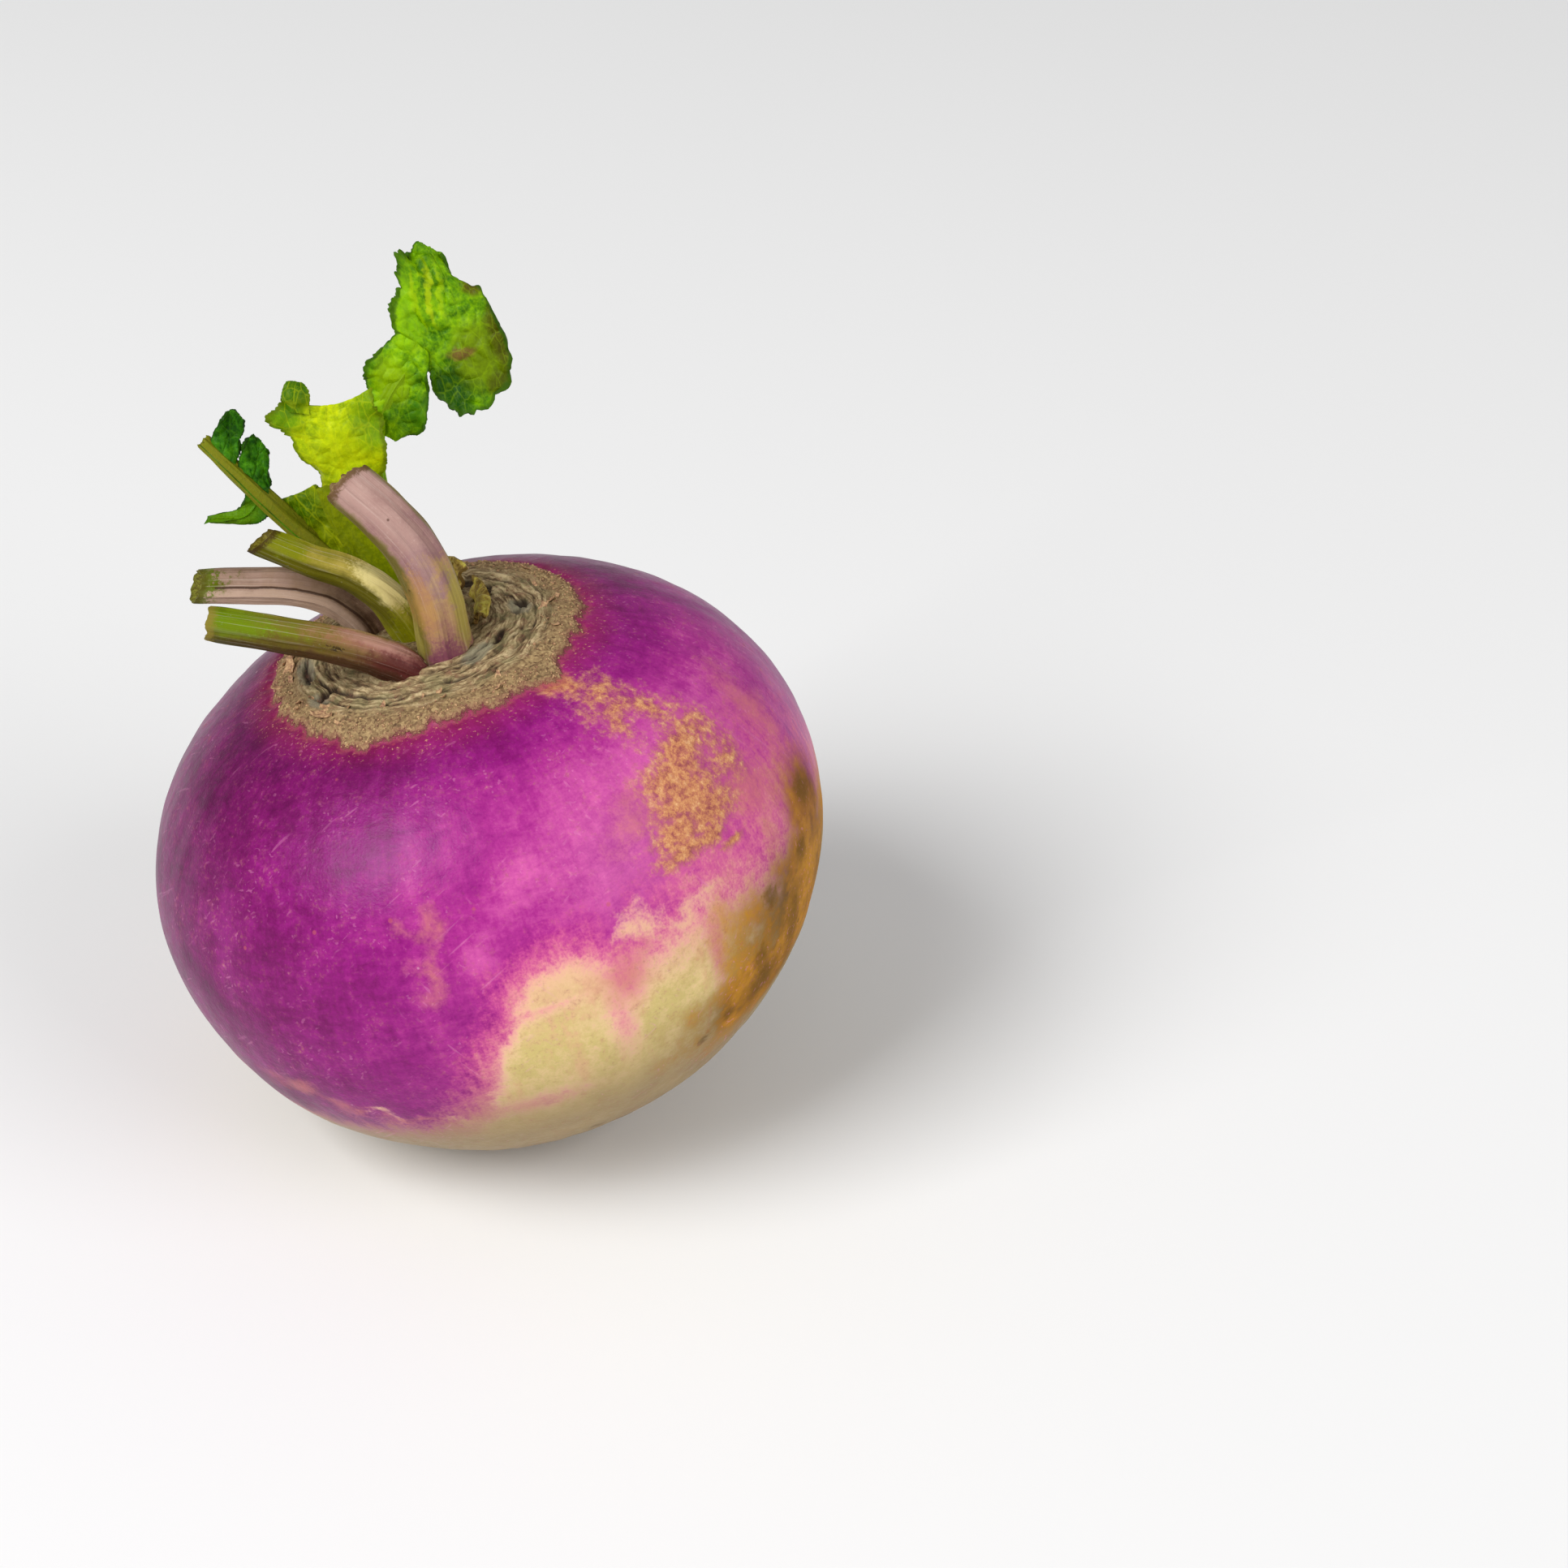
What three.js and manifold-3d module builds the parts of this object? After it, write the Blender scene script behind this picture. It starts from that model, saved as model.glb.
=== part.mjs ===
// A purple-top turnip as picked and trimmed: a squat swollen root with a corky crown,
// four leaf stalks cut short, a thin young leaf, a torn leaf and a taller torn leaf.
//
// Units are millimetres and +Z is up. The origin is the middle of the flat spot that the turnip
// rests on. The turnip leans: its own axis tips towards -X, and everything that grows on it is
// laid out in the plant's frame, whose +Z is that axis and whose origin is the root's middle.
import * as THREE from "three";
import { mergeVertices } from "three/addons/utils/BufferGeometryUtils.js";
import Module from "manifold-3d";

const wasm = await Module();
wasm.setup();

// Driving dimensions of the root
const EQUATOR_RADIUS = 45;
const CROWN_RISE = 32.3; // from the equator up to the crown
const ROOT_DROP = 41; // from the equator down to the root tip
const SHOULDER_POWER = 0.81; // under 1 makes the shoulder squarer than an ellipse
const LEAN = THREE.MathUtils.degToRad(13);
const FLAT_DEPTH = 1; // how far the resting spot is pressed into the round

// The crown: a disc of tan cork with the scars of fallen leaves in rings round a low neck
const CORK_RADIUS = 20.6;
const CORK_RISE = 0.5;
const CORK_BEVEL = 0.8;
const SCAR_START = 7.2;
const SCAR_PITCH = 2.4;
const SCAR_COUNT = 4;
const SCAR_DEPTH = 0.55;
const NECK_RISE = 1.6;
const NECK_RADIUS = 14;

// The trimmed tap root: a small stub in a shallow dimple
const TAP_DIMPLE_RADIUS = 5;
const TAP_DIMPLE_DEPTH = 1.3;
const TAP_STUB_RADIUS = 1.7;
const TAP_STUB_RISE = 0.8;

// How finely the solids are cut into faces
const ROOT_SEGMENTS = 48;
const FLANK_RINGS = 19;
const STALK_SIDES = 14;
const STALK_STEPS = 9;

const BLADE_THICKNESS = 0.8;
const GAP = 0.3; // left between pieces that touch, because they are separate solids

const COLOURS = {
  root: 0x8e2a7d,
  stalkMauve: 0xa07c86,
  stalkGreen: 0x8c9440,
  leafYellow: 0xa6b41c,
  leafGreen: 0x5f9a12,
  leafDark: 0x2f6416,
};

const point = (x, y, z) => new THREE.Vector3(x, y, z);
const line = (rows) => new THREE.CatmullRomCurve3(rows.map((row) => point(...row)));
const { smoothstep, lerp } = THREE.MathUtils;

// Solids
function toSolid(geometry) {
  const bare = geometry.clone();
  bare.deleteAttribute("normal");
  bare.deleteAttribute("uv");
  const merged = mergeVertices(bare, 1e-4);
  return new wasm.Manifold(
    new wasm.Mesh({
      numProp: 3,
      vertProperties: new Float32Array(merged.attributes.position.array),
      triVerts: new Uint32Array(merged.index.array),
    }),
  );
}

function toGeometry(solid) {
  const mesh = solid.getMesh();
  return new THREE.BufferGeometry()
    .setAttribute("position", new THREE.BufferAttribute(mesh.vertProperties, 3))
    .setIndex(new THREE.BufferAttribute(mesh.triVerts, 1));
}

// Trimming can leave crumbs beside the piece, and only the piece is kept.
function largestBody(solid) {
  return solid.decompose().reduce((a, b) => (a.volume() > b.volume() ? a : b));
}

// The root's outline, from the crown down to the root tip
function skinHeight(radius) {
  const share = (radius / EQUATOR_RADIUS) ** (2 / SHOULDER_POWER);
  return CROWN_RISE * Math.sqrt(1 - share);
}

function crownRelief(radius) {
  const cork = CORK_RISE * (1 - smoothstep(radius, CORK_RADIUS - CORK_BEVEL, CORK_RADIUS + CORK_BEVEL));
  const neck = NECK_RISE * (1 - smoothstep(radius, 0, NECK_RADIUS));
  return cork + neck;
}

// Each scar is a terrace: a crest with a groove outside it.
function crownOutline() {
  const rows = [[0, 0]];
  for (let i = 0; i < SCAR_COUNT; i++) {
    const crest = SCAR_START + i * SCAR_PITCH;
    rows.push([crest, SCAR_DEPTH / 2], [crest + SCAR_PITCH / 2, -SCAR_DEPTH / 2]);
  }
  const corkStart = SCAR_START + SCAR_COUNT * SCAR_PITCH;
  rows.push([corkStart, 0], [CORK_RADIUS - CORK_BEVEL, 0], [CORK_RADIUS + CORK_BEVEL, 0]);
  rows.splice(1, 0, [SCAR_START / 3, 0], [(2 * SCAR_START) / 3, 0]);
  return rows.map(([radius, lift]) => {
    return new THREE.Vector2(radius, skinHeight(radius) + crownRelief(radius) + lift);
  });
}

// The flank runs on from the crown over the shoulder, round the equator and down to the dimple.
function flankOutline() {
  const crownShare = ((CORK_RADIUS + CORK_BEVEL) / EQUATOR_RADIUS) ** (1 / SHOULDER_POWER);
  const startAngle = Math.asin(crownShare);
  const endAngle = Math.PI - Math.asin(TAP_DIMPLE_RADIUS / EQUATOR_RADIUS);
  const rows = [];
  for (let i = 1; i <= FLANK_RINGS; i++) {
    const angle = lerp(startAngle, endAngle, i / FLANK_RINGS);
    const upper = Math.cos(angle) > 0;
    const radius = EQUATOR_RADIUS * Math.sin(angle) ** (upper ? SHOULDER_POWER : 1);
    rows.push(new THREE.Vector2(radius, Math.cos(angle) * (upper ? CROWN_RISE : ROOT_DROP)));
  }
  return rows;
}

function tapOutline() {
  const floor = -ROOT_DROP + TAP_DIMPLE_DEPTH;
  return [
    new THREE.Vector2((TAP_DIMPLE_RADIUS + TAP_STUB_RADIUS) / 2, floor - 0.4),
    new THREE.Vector2(TAP_STUB_RADIUS * 1.1, floor),
    new THREE.Vector2(TAP_STUB_RADIUS * 0.8, floor - TAP_STUB_RISE),
    new THREE.Vector2(0, floor - TAP_STUB_RISE),
  ];
}

// No turnip is quite round: a slow swell round the girth, the same at every height of the axis.
function unevenness(angle, height) {
  const twoLobed = 0.007 * Math.sin(2 * angle + 0.6);
  const threeLobed = 0.005 * Math.sin(3 * angle + 2 + height / 30);
  return 1 + (twoLobed + threeLobed) * (1 - (height / ROOT_DROP) ** 2);
}

function rootGeometry() {
  const outline = [...crownOutline(), ...flankOutline(), ...tapOutline()].reverse();
  const geometry = new THREE.LatheGeometry(outline, ROOT_SEGMENTS);
  geometry.rotateX(Math.PI / 2);
  const place = geometry.attributes.position;
  for (let i = 0; i < place.count; i++) {
    const angle = Math.atan2(place.getY(i), place.getX(i));
    const swell = unevenness(angle, place.getZ(i));
    place.setX(i, place.getX(i) * swell);
    place.setY(i, place.getY(i) * swell);
  }
  return geometry;
}

// Where the leaning root touches the floor, worked out on the ellipse of its lower half
function contact() {
  const sin = Math.sin(LEAN);
  const cos = Math.cos(LEAN);
  const height = Math.hypot(EQUATOR_RADIUS * sin, ROOT_DROP * cos);
  const offset = ((EQUATOR_RADIUS ** 2 - ROOT_DROP ** 2) * sin * cos) / height;
  return { height, offset };
}

function plantPose() {
  const { height, offset } = contact();
  return new THREE.Matrix4()
    .makeRotationY(-LEAN)
    .setPosition(offset, 0, height - FLAT_DEPTH);
}

// A stalk is a cylinder bent along its path. Its section is wider than deep, with a channel
// along the side that faces the plant's middle. It flares where it joins the crown, and the
// cut at its other end can be slanted.
function stalkGeometry({ path, width, depth, channel, facing, flare, slant }) {
  const curve = line(path);
  const geometry = new THREE.CylinderGeometry(1, 1, 1, STALK_SIDES, STALK_STEPS);
  const place = geometry.attributes.position;
  const inward = point(...facing);
  for (let i = 0; i < place.count; i++) {
    const along = place.getY(i) + 0.5;
    const tangent = curve.getTangent(along);
    const side = tangent.clone().cross(inward).normalize();
    const face = side.clone().cross(tangent).normalize();
    const swell = 1 + flare * Math.exp(-along / 0.15);
    const halfWidth = (lerp(width[0], width[1], along) / 2) * swell;
    const halfDepth = lerp(depth[0], depth[1], along) / 2;
    const across = place.getX(i);
    const dip = place.getZ(i) > 0 ? 1 - channel * Math.exp(-((across / 0.45) ** 2)) : 1;
    const cut = slant[0] * across * halfWidth + slant[1] * place.getZ(i) * halfDepth;
    const spot = curve
      .getPoint(along)
      .addScaledVector(side, across * halfWidth)
      .addScaledVector(face, place.getZ(i) * dip * halfDepth)
      .addScaledVector(tangent, -cut * smoothstep(along, 0.75, 1));
    place.setXYZ(i, spot.x, spot.y, spot.z);
  }
  return geometry;
}

// A blade is a thin sheet through three lines, its left edge, its middle and its right edge.
// Its edges are toothed and it is ruffled, more towards the edges.
function bladeGeometry({ left, middle, right, ruffle, waves, teeth, grid }) {
  const edges = [line(left), line(middle), line(right)];
  const sheet = new THREE.PlaneGeometry(2, 1, ...grid);
  const place = sheet.attributes.position;
  const spots = [];
  for (let i = 0; i < place.count; i++) {
    const along = place.getY(i) + 0.5;
    const across = place.getX(i);
    const [l, m, r] = edges.map((edge) => edge.getPoint(along));
    const tooth = 1 + teeth * Math.sin(waves * 7.3 * along + 4 * across) * across ** 6;
    const reach = across * tooth;
    const spot = point(0, 0, 0)
      .addScaledVector(l, (reach * (reach - 1)) / 2)
      .addScaledVector(m, 1 - reach * reach)
      .addScaledVector(r, (reach * (reach + 1)) / 2);
    spots.push({ spot, lift: ruffle * Math.sin(waves * 2 * Math.PI * along + 3 * across) * across ** 2 });
    place.setXYZ(i, spot.x, spot.y, spot.z);
  }
  sheet.computeVertexNormals();
  const flat = sheet.attributes.normal.clone();
  spots.forEach(({ spot, lift }, i) => {
    place.setXYZ(i, spot.x + flat.getX(i) * lift, spot.y + flat.getY(i) * lift, spot.z + flat.getZ(i) * lift);
  });
  sheet.computeVertexNormals();
  return thickened(sheet, BLADE_THICKNESS / 2);
}

// Both faces of the sheet have the same triangles, so that no wave makes them cross.
function thickened(sheet, halfThickness) {
  const count = sheet.attributes.position.count;
  const place = new Float32Array(count * 6);
  const from = new THREE.Vector3();
  const normal = new THREE.Vector3();
  for (let i = 0; i < count; i++) {
    from.fromBufferAttribute(sheet.attributes.position, i);
    normal.fromBufferAttribute(sheet.attributes.normal, i);
    from.clone().addScaledVector(normal, halfThickness).toArray(place, i * 3);
    from.clone().addScaledVector(normal, -halfThickness).toArray(place, (count + i) * 3);
  }
  const faces = [];
  const source = sheet.index.array;
  const open = new Map();
  for (let i = 0; i < source.length; i += 3) {
    const [a, b, c] = source.slice(i, i + 3);
    faces.push(a, b, c, count + a, count + c, count + b);
    for (const [p, q] of [[a, b], [b, c], [c, a]]) {
      if (!open.delete(`${q} ${p}`)) open.set(`${p} ${q}`, [p, q]);
    }
  }
  for (const [p, q] of open.values()) {
    faces.push(q, p, count + p, q, count + p, count + q);
  }
  return new THREE.BufferGeometry()
    .setAttribute("position", new THREE.BufferAttribute(place, 3))
    .setIndex(faces);
}

// The four stalks that were cut short. A path runs from inside the crown to the cut.
const petioles = {
  petiole_left_front: {
    colour: COLOURS.stalkGreen,
    stalk: {
      path: [[-0.6, -8.6, 28.5], [-1.8, -9.3, 33.2], [-4.4, -10, 36], [-8.6, -11, 39.2], [-15.1, -12, 42.9], [-22.4, -13, 46.8]],
      width: [6, 5.4],
      depth: [5.6, 4.8],
      channel: 0.3,
      facing: [0.2, 0.6, 1],
      flare: 0.15,
      slant: [0.1, 0],
    },
  },
  petiole_front_right: {
    colour: COLOURS.stalkMauve,
    stalk: {
      path: [[3.4, -5.5, 28], [4.2, -6.8, 34], [5, -7.3, 41], [4.2, -7.2, 47.8], [1.9, -6.8, 53.2], [-1.6, -6, 58.6]],
      width: [7.4, 6.4],
      depth: [6.2, 5],
      channel: 0.35,
      facing: [-0.8, 1, 0.1],
      flare: 0.1,
      slant: [-0.15, 0.1],
    },
  },
  petiole_middle: {
    colour: COLOURS.stalkGreen,
    stalk: {
      path: [[0.4, -2, 29], [-0.8, -2.6, 35], [-2.4, -3.2, 40.6], [-5.5, -3.7, 44.8], [-10.1, -4.3, 48.4], [-14.6, -5, 52.5]],
      width: [6.2, 4.6],
      depth: [5.4, 4.2],
      channel: 0.3,
      facing: [0.6, 0.6, 0.8],
      flare: 0.1,
      slant: [0, 0.5],
    },
  },
  petiole_left_back: {
    colour: COLOURS.stalkMauve,
    stalk: {
      path: [[-5, 1, 29], [-6.4, 0.2, 35.5], [-9.4, -0.5, 40.1], [-13.6, -0.9, 42.7], [-19.5, -1, 44.4], [-26.2, -1, 45.8]],
      width: [5.4, 4.4],
      depth: [5, 4],
      channel: 0.45,
      facing: [0.2, -0.5, 1],
      flare: 0.15,
      slant: [0.1, 0.5],
    },
  },
};

// The thin young leaf: a stalk with three small lobes near its end
const youngLeaf = {
  colour: COLOURS.leafDark,
  stalk: {
    path: [[-2.8, 4.8, 29.5], [-5.2, 5, 36.6], [-9.2, 5.2, 43], [-12.4, 5.2, 47.8], [-15.7, 5.6, 53.2], [-18.6, 6.2, 58.2], [-21, 6.8, 62]],
    width: [4.2, 2.2],
    depth: [3.8, 2],
    channel: 0.35,
    facing: [0.8, -0.2, 0.6],
    flare: 0.2,
    slant: [0, 0],
  },
  blades: [
    {
      left: [[-20.4, 6.6, 61.2], [-19, 7.4, 63.3], [-17.3, 8.2, 64.4], [-16.2, 8.8, 64.3]],
      middle: [[-19.1, 6.2, 59.8], [-18.2, 7.4, 61.3], [-17.2, 8.4, 62.5], [-16, 9, 63.7]],
      right: [[-17.9, 6, 58], [-17.1, 7, 59.3], [-16.4, 7.8, 61], [-15.6, 8.8, 62.7]],
      ruffle: 0.3,
      waves: 1.5,
      teeth: 0.06,
      grid: [4, 6],
    },
    {
      left: [[-17.6, 6, 57.8], [-17, 7, 59.4], [-16, 8, 60.4], [-15, 8.6, 60.6]],
      middle: [[-16.3, 5.8, 55.6], [-15.8, 7, 56.8], [-15.2, 8, 58], [-14.4, 8.8, 59.4]],
      right: [[-14.9, 5.6, 52.9], [-14.6, 6.6, 54.1], [-14.2, 7.4, 56], [-13.9, 8.4, 58.1]],
      ruffle: 0.3,
      waves: 1.5,
      teeth: 0.06,
      grid: [4, 6],
    },
    {
      left: [[-17.4, 5.6, 54.8], [-18.3, 5, 53.2], [-19.5, 4.6, 52.5], [-23, 4, 52.8]],
      middle: [[-16.2, 5.4, 53.2], [-17.5, 4.8, 51.9], [-18.9, 4.4, 51.5], [-23.1, 4, 52.4]],
      right: [[-14.8, 5.2, 51.2], [-16.6, 4.6, 50.3], [-18.4, 4.2, 50.6], [-23.1, 4, 52]],
      ruffle: 0.2,
      waves: 1,
      teeth: 0.04,
      grid: [4, 6],
    },
  ],
};

// The torn leaf: a broad flat stalk that opens into a yellow-green blade with a ragged top,
// a curled tip at its left corner and a narrow leaflet low on the stalk
const tornLeaf = {
  colour: COLOURS.leafYellow,
  stalk: {
    path: [[-0.6, 3.2, 30], [-1.8, 3.4, 35.3], [-3, 3.6, 40.4], [-4.3, 3.9, 45.4], [-5.4, 4.3, 49.4], [-5.8, 4.8, 53.4]],
    width: [6.2, 5.2],
    depth: [3.4, 1.6],
    channel: 0.4,
    facing: [0.2, -1, 0.2],
    flare: 0.15,
    slant: [0, 0],
  },
  blades: [
    {
      left: [[-8, 5.2, 52], [-7.9, 5, 55.2], [-8.4, 4.8, 57.9], [-9.1, 4.4, 60.3], [-10.3, 4.2, 62.1], [-11.1, 4, 64.3], [-10.1, 4.2, 65.5], [-8.9, 4.8, 66.4]],
      middle: [[-5.4, 4.6, 51.4], [-4.2, 4.2, 54.4], [-3.9, 4, 57.1], [-3.9, 3.8, 59.1], [-3.9, 4, 60.8], [-3.9, 4.4, 62], [-3.8, 5, 63.1], [-3.6, 5.4, 63.9]],
      right: [[-2.8, 5.2, 50.8], [-0.4, 5.4, 52.3], [1.2, 5.6, 54.7], [1.9, 5.8, 57.4], [2.2, 6, 59.5], [2.1, 6.2, 61.4], [2, 6.6, 62.9], [2, 7, 64.2]],
      ruffle: 0.6,
      waves: 2.2,
      teeth: 0.04,
      grid: [8, 12],
    },
    {
      left: [[-9, 4.5, 64.6], [-8.8, 4.6, 66.6], [-8, 5.2, 67.6], [-7.2, 6, 67.9]],
      middle: [[-7.5, 4.3, 64.4], [-7.1, 4, 66.3], [-6.8, 4.6, 67.3], [-6.5, 5.8, 67.7]],
      right: [[-6, 4.6, 63.6], [-5.5, 4.8, 65.3], [-5.4, 5.2, 66.4], [-6, 6, 67.3]],
      ruffle: 0.2,
      waves: 1,
      teeth: 0.04,
      grid: [4, 5],
    },
    {
      left: [[-14.2, 7.2, 51.6], [-12.9, 6.4, 49.7], [-11.4, 5.6, 46.9], [-8.6, 4.4, 43]],
      middle: [[-11.7, 6.6, 52.1], [-10.6, 5.8, 50.4], [-9, 5, 47.7], [-6.6, 4.2, 43.8]],
      right: [[-8.4, 5.8, 53.4], [-6.8, 4.9, 51.1], [-5.8, 4.4, 48.2], [-4.8, 4, 44.4]],
      ruffle: 0.3,
      waves: 1,
      teeth: 0.04,
      grid: [4, 6],
    },
  ],
};

// The tall leaf: a thin rib behind the others, a side lobe, and a broad crumpled end lobe
const tallLeaf = {
  colour: COLOURS.leafGreen,
  stalk: {
    path: [[-1.8, 7.8, 29.5], [-2.3, 8.2, 38], [-2.1, 8.6, 47], [-1.1, 9.2, 53.6], [0.6, 9.6, 58], [3.4, 10.4, 61.6], [6.2, 11.3, 63.9], [8.4, 12.2, 65]],
    width: [3.8, 1.5],
    depth: [3.6, 1.3],
    channel: 0.3,
    facing: [-0.4, -1, 0.2],
    flare: 0.2,
    slant: [0, 0],
  },
  blades: [
    {
      left: [[0.9, 9.4, 56.4], [1.2, 9.8, 58.5], [0.9, 10.2, 60.6], [0.5, 10.6, 63.2], [1.2, 11.2, 65.2], [3.6, 11.8, 67.3], [6.6, 12.4, 68.5]],
      middle: [[1.6, 9.2, 56], [3.1, 9.3, 57.8], [4.3, 9.8, 59.6], [5.1, 10.4, 61.3], [5.9, 11, 63.3], [6.9, 11.6, 65.2], [8.2, 12.2, 66.8]],
      right: [[2.4, 9.6, 55.4], [4.6, 10, 55.1], [6.8, 10, 56.7], [7.6, 10.2, 59], [8.3, 10.6, 61.3], [8.9, 11.2, 63.3], [9.4, 12, 65]],
      ruffle: 0.6,
      waves: 2.4,
      teeth: 0.05,
      grid: [8, 10],
    },
    {
      left: [[6.6, 11.6, 64.4], [6, 12.4, 68.1], [6.2, 13.4, 71.2], [7.3, 14.4, 73.8], [8.3, 15.6, 76.6], [9.2, 16.4, 77.1], [10.2, 17.2, 77.4], [11, 18, 77.6]],
      middle: [[8, 12, 63.4], [9.2, 12.6, 64.1], [10.5, 12.8, 64.3], [12.5, 13, 65.2], [14.1, 13.6, 67.8], [14.1, 14.8, 71], [13.2, 16.2, 74.4], [12.4, 17.8, 76.7]],
      right: [[9.7, 11.2, 63], [9.8, 10.6, 59.7], [11.2, 10.6, 56.9], [14.8, 11.4, 55.8], [18.8, 12.8, 59.9], [18.8, 14.2, 66], [17.7, 15.6, 70.8], [15.4, 16.8, 71.8], [13.7, 17.6, 75.6]],
      ruffle: 0.8,
      waves: 2.6,
      teeth: 0.05,
      grid: [10, 14],
    },
  ],
};

// A leaf is one solid: its stalk and its blades joined.
function leafSolid(leaf) {
  const stalk = toSolid(stalkGeometry(leaf.stalk));
  const blades = (leaf.blades ?? []).map((blade) => toSolid(bladeGeometry(blade)));
  return blades.reduce((whole, blade) => whole.add(blade), stalk);
}

// A piece together with the space round it that its neighbours keep out of
function withGap(solid) {
  const shifts = [[GAP, 0, 0], [-GAP, 0, 0], [0, GAP, 0], [0, -GAP, 0], [0, 0, GAP], [0, 0, -GAP]];
  return shifts.reduce((whole, shift) => whole.add(solid.translate(shift)), solid);
}

function mesh(name, geometry, colour, roughness) {
  geometry.computeVertexNormals();
  const material = new THREE.MeshStandardMaterial({ color: colour, roughness, metalness: 0 });
  const made = new THREE.Mesh(geometry, material);
  made.name = name;
  return made;
}

// The root is cut level by the floor, in the part's own frame.
function restingRoot(pose) {
  const floorSize = 2 * EQUATOR_RADIUS;
  const floor = new THREE.BoxGeometry(floorSize, floorSize, floorSize).translate(0, 0, -floorSize / 2);
  const standing = toSolid(rootGeometry().applyMatrix4(pose));
  return toGeometry(standing.subtract(toSolid(floor)));
}

const pose = plantPose();
const turnip = new THREE.Group();
turnip.add(mesh("root", restingRoot(pose), COLOURS.root, 0.4));

// Everything that grows on the crown leans with the plant. Each piece gives way to the root and
// to the pieces placed before it, so that they lie side by side with a thin gap.
const plant = new THREE.Group();
plant.applyMatrix4(pose);
turnip.add(plant);

const growth = {
  ...petioles,
  torn_leaf: tornLeaf,
  tall_leaf: tallLeaf,
  young_leaf: youngLeaf,
};
let taken = toSolid(rootGeometry().translate(0, 0, GAP));
for (const [name, leaf] of Object.entries(growth)) {
  const piece = largestBody(leafSolid(leaf).subtract(taken));
  plant.add(mesh(name, toGeometry(piece), leaf.colour, 0.5));
  taken = taken.add(withGap(piece));
}

export default turnip;
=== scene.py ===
# %% [markdown]
# # A purple-top turnip
# This is a trimmed turnip, fresh from the ground. Its root is round and purple above, where the
# sun reached it, and cream below. On top is a disc of tan cork with the scars of old leaves, and
# out of it come four cut leaf stalks, a thin young leaf and two torn green leaves.
#
# The imported solids already have the right sizes and places. They could be coloured as they are,
# but a turnip lives by its surface, so each solid is replaced here by a finer mesh of the same
# form. The solids are loaded first.

# %% Load the imported solids
import math
import random

import bmesh
import bpy
from mathutils import Matrix, Vector, noise
from mathutils.bvhtree import BVHTree


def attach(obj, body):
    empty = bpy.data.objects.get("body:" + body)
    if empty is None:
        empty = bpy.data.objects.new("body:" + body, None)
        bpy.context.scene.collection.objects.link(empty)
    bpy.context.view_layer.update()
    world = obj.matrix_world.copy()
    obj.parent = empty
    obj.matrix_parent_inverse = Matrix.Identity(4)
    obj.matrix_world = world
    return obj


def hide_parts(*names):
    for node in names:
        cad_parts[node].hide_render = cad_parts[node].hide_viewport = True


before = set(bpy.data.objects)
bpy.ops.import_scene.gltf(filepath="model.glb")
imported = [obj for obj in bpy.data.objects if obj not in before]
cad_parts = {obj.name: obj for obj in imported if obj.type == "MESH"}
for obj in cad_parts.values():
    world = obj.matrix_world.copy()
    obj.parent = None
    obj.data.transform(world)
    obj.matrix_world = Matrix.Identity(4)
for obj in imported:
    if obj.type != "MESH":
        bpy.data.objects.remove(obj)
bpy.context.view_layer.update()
print("solids:", sorted(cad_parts))

# %% [markdown]
# ## The plant's own frame
# The turnip lies on its side a little: its axis leans away from the vertical. Modelling it leaning
# would make every ring and scar awkward, so all pieces are modelled upright in millimetres, round
# the root's middle, and one matrix then leans them and sets them down on their flat spot.

# %% Work out how the turnip lies
MM = 0.001
EQUATOR_RADIUS = 45
CROWN_RISE = 32.3
ROOT_DROP = 41
SHOULDER_POWER = 0.81
LEAN = math.radians(13)
FLAT_DEPTH = 1

contact_height = math.hypot(EQUATOR_RADIUS * math.sin(LEAN), ROOT_DROP * math.cos(LEAN))
spread = (EQUATOR_RADIUS**2 - ROOT_DROP**2) * math.sin(LEAN) * math.cos(LEAN)
root_middle = Vector((spread / contact_height, 0, contact_height - FLAT_DEPTH))
turn = Matrix.Rotation(-LEAN, 4, "Y")
PLANT = Matrix.Scale(MM, 4) @ Matrix.Translation(root_middle) @ turn
print("root's middle in mm:", [round(v, 2) for v in root_middle])

# %% [markdown]
# ## Camera
# The photograph looks down at the turnip by about a third of a right angle, from some way off.
# A long lens keeps the round root from bulging. The camera is placed from the root's middle, so
# that the turnip fills the same part of the picture as it does in the photograph.

# %% Place the camera
LOOK_DOWN = math.radians(33)
CAMERA_FROM_ROOT = Vector((39.9, -367.6, 246.5))
LENS = 75
FILM_WIDTH = 36
NEAREST = 0.01

camera = bpy.data.objects.new("camera", bpy.data.cameras.new("camera"))
camera.data.lens = LENS
camera.data.sensor_width = FILM_WIDTH
camera.data.clip_start = NEAREST
camera.location = (root_middle + CAMERA_FROM_ROOT) * MM
camera.rotation_euler = (math.pi / 2 - LOOK_DOWN, 0, 0)
bpy.context.scene.collection.objects.link(camera)
bpy.context.scene.camera = camera
print("camera at", [round(v, 3) for v in camera.location], "metres")

# %% [markdown]
# ## Light
# The photograph was taken in a light tent: white all round, with one soft window to the left that
# leaves a broad pale sheen on the shoulder. A white world lights every side, and large area lights
# add the window and a weaker one from the right. Colours stay as chosen with the plain Standard
# view, which doesn't dull the purple.

# %% Light the scene
TENT_STRENGTH = 0.29


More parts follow.
